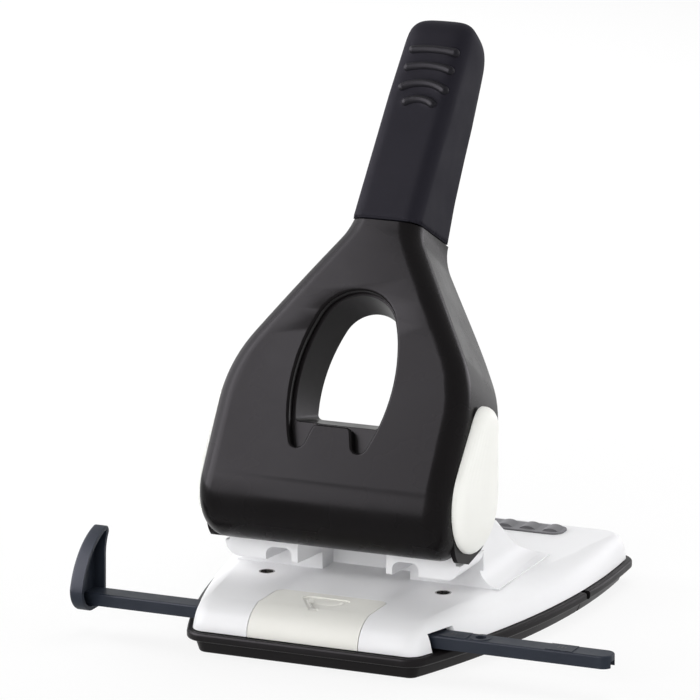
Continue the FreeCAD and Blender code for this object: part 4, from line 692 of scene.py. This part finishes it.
@dataclass
class Grip:
    """The soft sleeve on the lever's end, rounded all over, and its four bowed ribs."""

    origin_mm: tuple[float, float, float] = (0.0, -1.446, 174.63)      # where the sleeve's front line starts
    lean_deg: float = 40.0       # that line's angle from upright
    voxel_mm: float = 0.9
    relax_share: float = 0.5     # of the way to their neighbours' middle, which points move in each step
    skin_steps: int = 5
    crown_steps: int = 130
    crown_mm: tuple[float, float] = (56.0, 86.0)      # where the soft crown starts and is full
    lip_mm: float = 8.0          # the open end lies below this place along the line,
    lip_facing: float = 0.6      # its faces point down the line by at least this share,
    lip_gap_mm: float = 0.8      # and it stands back from the lever by this
    rib_half_width_mm: float = 2.0
    rib_height_mm: float = 1.6
    rib_middle_mm: float = 1.3   # how far the ribs' middle lies right of the sleeve's
    ribs_mm: tuple[tuple[float, float, float], ...] = (      # place along the line, half length, bow's radius
        (76.6, 9.4, 60.0), (68.7, 9.4, 30.0), (60.3, 9.4, 18.0), (52.5, 6.0, 11.0))
    bead_steps: int = 20
    ball_rings: int = 10
    bow_steps: int = 28

    def soften(self, piece: bpy.types.Object, steps: int, group: str = "") -> None:
        """Relaxes a mesh and keeps the result.

        Args:
            piece: the object, with its mesh in place.
            steps: how many times the points move.
            group: the vertex group that is relaxed, or all of it.
        """
        relax = piece.modifiers.new("relax", "SMOOTH")
        relax.factor, relax.iterations, relax.vertex_group = self.relax_share, steps, group
        keep_result(piece)

    def sleeve(self, dresser: Dresser) -> None:
        """Rounds the sleeve all over, most at its crown, and opens the seam at its lower end.

        Args:
            dresser: what places the piece.
        """
        piece = dresser.new_piece("grip_sleeve_finished", dresser.merged_copy("grip_sleeve"), GRIP_RUBBER)
        skin = piece.modifiers.new("skin", "REMESH")
        skin.mode, skin.voxel_size, skin.use_smooth_shade = "VOXEL", self.voxel_mm * MM, True
        keep_result(piece)
        self.soften(piece, self.skin_steps)
        lean = math.radians(self.lean_deg)
        along = Vector((0.0, math.sin(lean), math.cos(lean)))
        start, full = self.crown_mm
        crown = piece.vertex_groups.new(name="crown")
        for vertex in piece.data.vertices:
            place = (vertex.co - Vector(self.origin_mm) * MM).dot(along) / MM
            share = min(max((place - start) / (full - start), 0.0), 1.0)
            if share > 0:
                crown.add([vertex.index], share, "REPLACE")
            elif place < self.lip_mm and vertex.normal.dot(along) < -self.lip_facing:
                vertex.co -= vertex.normal * self.lip_gap_mm * MM
        self.soften(piece, self.crown_steps, "crown")
        piece.vertex_groups.clear()
        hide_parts("grip_sleeve")
        dresser.place(piece, Body.LEVER, "grip_rubber")

    def ribs_mesh(self) -> bpy.types.Mesh:
        """Grows the ribs: a bowed bead with round ends for each.

        Returns:
            The mesh, in the row frame.
        """
        part = GrownPart("grip_ribs", RIB_RUBBER)
        bead = (self.rib_half_width_mm ** 2 + self.rib_height_mm ** 2) / (2 * self.rib_height_mm)
        sizes = {"Bead radius": bead * MM, "Sink": (self.rib_height_mm - bead) * MM,
                 "Middle": self.rib_middle_mm * MM, "Bead steps": self.bead_steps,
                 "Bow steps": self.bow_steps, "Lean": math.radians(90 - self.lean_deg)}
        for number, (place, half, bow) in enumerate(self.ribs_mm):
            reach = math.asin(half / bow)
            sizes |= {f"Centre {number}": (place - bow) * MM, f"Bow {number}": bow * MM,
                      f"Start {number}": math.pi / 2 - reach, f"Sweep {number}": 2 * reach}
        given = part.sized(sizes)
        bows = []
        for number in range(len(self.ribs_mm)):
            arc = part.node("GeometryNodeCurveArc", {"mode": "RADIUS"},
                            {"Resolution": given["Bow steps"], "Radius": given[f"Bow {number}"],
                             "Start Angle": given[f"Start {number}"],
                             "Sweep Angle": given[f"Sweep {number}"]})
            centre = part.vector(given["Middle"], given[f"Centre {number}"], given["Sink"])
            bows.append(part.moved(arc.outputs["Curve"], centre))
        rows = part.joined(bows)
        beads = part.swept(rows, given["Bead steps"], given["Bead radius"])
        ball = part.node("GeometryNodeMeshUVSphere", None,
                         {"Segments": given["Bead steps"], "Rings": self.ball_rings,
                          "Radius": given["Bead radius"]})
        ends = part.node("GeometryNodeCurveEndpointSelection")
        tips = part.node("GeometryNodeInstanceOnPoints", None,
                         {"Points": rows, "Selection": ends.outputs["Selection"],
                          "Instance": ball.outputs["Mesh"]})
        both = part.joined((beads, tips.outputs["Instances"]))
        stood = part.moved(both, tuple(c * MM for c in self.origin_mm), part.vector(given["Lean"]))
        return part.grow(stood, smooth=True)

    def build(self, dresser: Dresser) -> None:
        """Makes the sleeve and its ribs.

        Args:
            dresser: what places the pieces.
        """
        self.sleeve(dresser)
        # The ribs' darker finish is painted shade: it draws the dark outline that shadow gives each rib.
        ribs = dresser.new_piece("grip_ribs", self.ribs_mesh(), RIB_RUBBER)
        dresser.place(ribs, Body.LEVER, "grip_rubber")


@dataclass
class SideGuide:
    """The sliding bar with its upright fin, and the paper-size plates and the sight ring on its top."""

    bar: Dress = field(default_factory=lambda: Dress(SLATE_NYLON, "slate_plastic", 0.25))
    top_z_mm: float = 16.3
    middle_y_mm: float = -70.25
    plate_x_mm: tuple[float, float] = (60.5, 106.8)      # middles of the two plates
    plate_size_mm: tuple[float, float] = (11.6, 8.4)
    relief_mm: float = 0.25
    line_count: int = 3
    line_pitch_mm: float = 1.5
    line_size_mm: tuple[float, float] = (0.55, 3.4)
    line_shrink: float = 0.22    # share of that length by which each line is shorter than the one before it
    ink_mm: float = 0.04
    ring_x_mm: float = 71.5
    ring_radii_mm: tuple[float, float] = (2.35, 4.4)
    ring_edge_share: float = 0.4  # of the ring's height, which its edges are broken by
    ring_crease_deg: float = 30.0
    ring_steps: int = 48

    def on_each_plate(self, part: GrownPart, given: Any, shape: bpy.types.NodeSocket) -> bpy.types.NodeSocket:
        """Sets a shape on the middle of both plates.

        Args:
            part: the piece that grows.
            given: its tree's inputs, with "First plate" and "Plate pitch" among them.
            shape: the geometry to repeat.

        Returns:
            The instances.
        """
        start = part.vector(given["First plate"], given["Middle"], given["Level"])
        row = part.node("GeometryNodeMeshLine", {"mode": "OFFSET"},
                        {"Count": len(self.plate_x_mm), "Offset": part.vector(given["Plate pitch"]),
                         "Start Location": start})
        return part.node("GeometryNodeInstanceOnPoints", None,
                         {"Points": row.outputs["Mesh"], "Instance": shape}).outputs["Instances"]

    def grown(self, name: str, finish: Finish, level_mm: float, block_mm: tuple[float, float, float],
              more: dict[str, float | int]) -> tuple[GrownPart, Any, bpy.types.NodeSocket]:
        """Starts a piece that repeats on the plates, with a block on its level.

        Args:
            name: the piece's name.
            finish: its finish.
            level_mm: height of the block's middle.
            block_mm: the block's size along the bar, across it and upwards.
            more: inputs that only this piece has.

        Returns:
            The part, its tree's inputs and the block.
        """
        part = GrownPart(name, finish)
        first, last = self.plate_x_mm
        length, width, height = (size * MM for size in block_mm)
        given = part.sized({"First plate": first * MM, "Plate pitch": (last - first) * MM,
                            "Middle": self.middle_y_mm * MM, "Level": level_mm * MM, "Length": length,
                            "Width": width, "Height": height, **more})
        size = part.vector(given["Length"], given["Width"], given["Height"])
        return part, given, part.node("GeometryNodeMeshCube", None, {"Size": size}).outputs["Mesh"]

    def plates_mesh(self) -> bpy.types.Mesh:
        """Grows the two raised plates, half sunk into the bar.

        Returns:
            The mesh, in the row frame.
        """
        part, given, block = self.grown("size_plates", SLATE_NYLON, self.top_z_mm,
                                        (*self.plate_size_mm, 2 * self.relief_mm), {})
        return part.grow(self.on_each_plate(part, given, block), smooth=False)

    def lines_mesh(self) -> bpy.types.Mesh:
        """Grows the printed lines: a short row of them on each plate, about its middle.

        Returns:
            The mesh, in the row frame.
        """
        part, given, block = self.grown("size_lines", MARK_INK, self.top_z_mm + self.relief_mm,
                                        (*self.line_size_mm, 2 * self.ink_mm),
                                        {"Lines": self.line_count, "Line pitch": self.line_pitch_mm * MM})
        step = part.vector(given["Line pitch"])
        back = part.node("ShaderNodeVectorMath", {"operation": "SCALE"}, {0: step, "Scale": -1.0})
        row = part.node("GeometryNodeMeshLine", {"mode": "OFFSET"},
                        {"Count": given["Lines"], "Offset": step, "Start Location": back.outputs["Vector"]})
        index = part.node("GeometryNodeInputIndex")
        share = part.node("ShaderNodeMath", {"operation": "MULTIPLY_ADD"},
                          {0: index.outputs["Index"], 1: -self.line_shrink, 2: 1.0})
        lines = part.node("GeometryNodeInstanceOnPoints", None,
                          {"Points": row.outputs["Mesh"], "Instance": block,
                           "Scale": part.vector(1.0, share.outputs["Value"], 1.0)})
        return part.grow(self.on_each_plate(part, given, lines.outputs["Instances"]), smooth=False)

    def ring_mesh(self) -> bpy.types.Mesh:
        """Turns the raised ring round the sight hole.

        Returns:
            The mesh, in the row frame.
        """
        low, high = self.top_z_mm - self.relief_mm, self.top_z_mm + self.relief_mm
        inner, outer = self.ring_radii_mm
        soft = self.ring_edge_share * self.relief_mm
        outline = ((inner, low), (inner, high - soft), (inner + soft, high), (outer - soft, high),
                   (outer, high - soft), (outer, low))
        points = []
        for step in range(self.ring_steps):
            turn = 2 * math.pi * step / self.ring_steps
            for radius, z in outline:
                points.append(((self.ring_x_mm + radius * math.cos(turn)) * MM,
                               (self.middle_y_mm + radius * math.sin(turn)) * MM, z * MM))
        count = len(outline)
        faces = []
        for step in range(self.ring_steps):
            here, there = step * count, (step + 1) % self.ring_steps * count
            for corner in range(count):
                after = (corner + 1) % count
                faces.append((here + corner, here + after, there + after, there + corner))
        mesh = bpy.data.meshes.new("sight_ring")
        mesh.from_pydata(points, [], faces)
        mesh.validate()
        return mesh

    def build(self, dresser: Dresser) -> None:
        """Dresses the guide and adds its plates, lines and ring.

        Args:
            dresser: what places the pieces.
        """
        dresser.polish("paper_guide", Body.GUIDE, self.bar)
        ring = self.ring_mesh()
        dresser.smooth(ring, self.ring_crease_deg)
        for name, mesh, finish in (("size_plates", self.plates_mesh(), SLATE_NYLON),
                                   ("size_lines", self.lines_mesh(), MARK_INK),
                                   ("sight_ring", ring, SLATE_NYLON)):
            dresser.place(dresser.new_piece(name, mesh, finish), Body.GUIDE, "slate_plastic")


@dataclass(frozen=True)
class SoftBox:
    """A rectangular light that faces the object."""

    name: str
    azimuth_deg: float           # its direction, 0 in front and positive to the right
    height_deg: float            # its height angle above the middle of the object
    width_m: float
    height_m: float
    watts: float


# These light the object from all round, most of them low enough to reach under the lever. They show in no
# gloss.
LAMPS = tuple(SoftBox(name, azimuth, height, 1.0, 0.8, watts) for name, azimuth, height, watts in (
    ("front_low", 0, 18, 16.0), ("left_low", -90, 18, 18.0), ("rear_left", -135, 18, 8.0),
    ("right_low", 90, 18, 9.5), ("rear_right", 135, 18, 8.0), ("rear_high", 180, 50, 11.0)))
# These only show in gloss: they give the black enamel its sheen and its bright edges.
CARDS = (SoftBox("plate_card", -53.0, 29, 1.05, 1.8, 72.0), SoftBox("left_card", -80, 26, 0.75, 1.6, 18.0),
         SoftBox("edge_card", -107, 26, 0.75, 1.6, 8.0), SoftBox("front_card", -22.5, 14, 0.5, 1.1, 13.5),
         SoftBox("rim_card", 152, 8, 0.8, 0.6, 4.0))


@dataclass
class Studio:
    """Camera, soft lights and a pale floor."""

    azimuth_deg: float = 23.37
    pitch_deg: float = 13.8
    distance_m: float = 2.205
    aim_mm: tuple[float, float, float] = (-10.82, -13.73, 115.79)
    lens_mm: float = 272.06
    sensor_mm: float = 36.0
    far_m: float = 50.0
    floor_half_m: float = 9.0
    floor_colour: str = "#f4f4f4"
    floor_lift: float = 0.86     # how much of the floor's seen brightness isn't light on it
    sky_strength: float = 0.08   # how strongly the white room lights the object
    middle_m: float = 0.1        # height that the lights point at
    lamp_distance_m: float = 1.6
    card_tint: tuple[float, float, float] = (0.97, 0.93, 1.0)

    def camera(self) -> None:
        """Sets the camera at the viewing angle of the object."""
        turn, tilt = math.radians(self.azimuth_deg), math.radians(self.pitch_deg)
        ahead = Vector((-math.sin(turn) * math.cos(tilt), math.cos(turn) * math.cos(tilt), -math.sin(tilt)))
        aim = Vector(self.aim_mm) * MM
        lens = bpy.data.cameras.new("camera")
        lens.lens = self.lens_mm
        lens.sensor_width = self.sensor_mm
        lens.clip_end = self.far_m
        camera = bpy.data.objects.new("camera", lens)
        camera.location = aim - ahead * self.distance_m
        camera.rotation_euler = ahead.to_track_quat("-Z", "Y").to_euler()
        bpy.context.scene.collection.objects.link(camera)
        bpy.context.scene.camera = camera

    def floor(self) -> None:
        """Lays a pale floor that shows nearly white and keeps a faint shadow."""
        size = self.floor_half_m
        mesh = bpy.data.meshes.new("floor")
        corners = [(-size, -size, 0), (size, -size, 0), (size, size, 0), (-size, size, 0)]
        mesh.from_pydata(corners, [], [tuple(range(len(corners)))])
        floor = bpy.data.objects.new("floor", mesh)
        made = bpy.data.materials.new("pale_floor")
        made.use_nodes = True
        tree = made.node_tree
        tree.nodes.clear()
        paper = add_node(tree, "ShaderNodeBsdfDiffuse", None, {"Color": linear(self.floor_colour)})
        glow = add_node(tree, "ShaderNodeEmission", None, {"Color": WHITE, "Strength": 1.0})
        share = add_node(tree, "ShaderNodeMath", {"operation": "MULTIPLY"},
                         {0: self.seen_rays(tree), 1: self.floor_lift})
        mixed = add_node(tree, "ShaderNodeMixShader", None,
                         {0: share.outputs["Value"], 1: paper.outputs["BSDF"], 2: glow.outputs["Emission"]})
        add_node(tree, "ShaderNodeOutputMaterial", None, {"Surface": mixed.outputs["Shader"]})
        mesh.materials.append(made)
        bpy.context.scene.collection.objects.link(floor)

    def seen_rays(self, tree: bpy.types.NodeTree) -> bpy.types.NodeSocket:
        """Is 1 for camera, mirror and glass rays, and 0 for light on the object.

        Args:
            tree: the material's or world's node tree.

        Returns:
            The socket.
        """
        path = add_node(tree, "ShaderNodeLightPath")
        some = add_node(tree, "ShaderNodeMath", {"operation": "MAXIMUM"},
                        {0: path.outputs["Is Camera Ray"], 1: path.outputs["Is Glossy Ray"]})
        most = add_node(tree, "ShaderNodeMath", {"operation": "MAXIMUM"},
                        {0: some.outputs["Value"], 1: path.outputs["Is Transmission Ray"]})
        return most.outputs["Value"]

    def world(self) -> None:
        """Fills the room with even soft light and shows it white."""
        world = bpy.data.worlds.new("studio")
        bpy.context.scene.world = world
        world.use_nodes = True
        tree = world.node_tree
        tree.nodes.clear()
        level = add_node(tree, "ShaderNodeMapRange", None,
                         {"Value": self.seen_rays(tree), "To Min": self.sky_strength, "To Max": 1.0})
        light = add_node(tree, "ShaderNodeBackground", None,
                         {"Color": WHITE, "Strength": level.outputs["Result"]})
        add_node(tree, "ShaderNodeOutputWorld", None, {"Surface": light.outputs["Background"]})

    def hang(self, box: SoftBox, only_mirrored: bool) -> None:
        """Hangs a light round the object, facing it.

        Args:
            box: the light.
            only_mirrored: whether it shows as a reflection and lights nothing, or the other way round.
        """
        turn, rise = math.radians(box.azimuth_deg), math.radians(box.height_deg)
        out = Vector((math.sin(turn) * math.cos(rise), -math.cos(turn) * math.cos(rise), math.sin(rise)))
        light = bpy.data.lights.new(box.name, "AREA")
        light.shape = "RECTANGLE"
        light.size, light.size_y = box.width_m, box.height_m
        light.energy = box.watts
        light.color = self.card_tint if only_mirrored else WHITE[:3]
        hung = bpy.data.objects.new(box.name, light)
        hung.location = Vector((0.0, 0.0, self.middle_m)) + out * self.lamp_distance_m
        hung.rotation_euler = (-out).to_track_quat("-Z", "Y").to_euler()
        hung.visible_diffuse = not only_mirrored
        hung.visible_glossy = only_mirrored
        bpy.context.scene.collection.objects.link(hung)

    def build(self) -> None:
        """Sets up the whole studio."""
        self.camera()
        self.floor()
        self.world()
        for lamp in LAMPS:
            self.hang(lamp, only_mirrored=False)
        for card in CARDS:
            self.hang(card, only_mirrored=True)
        bpy.context.scene.view_settings.view_transform = "Standard"


def main() -> None:
    """Builds each sub-assembly in order."""
    dresser = Dresser()
    BaseUnit().build(dresser)
    PunchUnit("left", LEFT_TURNED).build(dresser)
    PunchUnit("right", RIGHT_TURNED).build(dresser)
    LeverUnit().build(dresser)
    Grip().build(dresser)
    SideGuide().build(dresser)
    Studio().build()
    LOG.info("%d finished pieces", len(dresser.made))


if __name__ == "__main__":
    main()
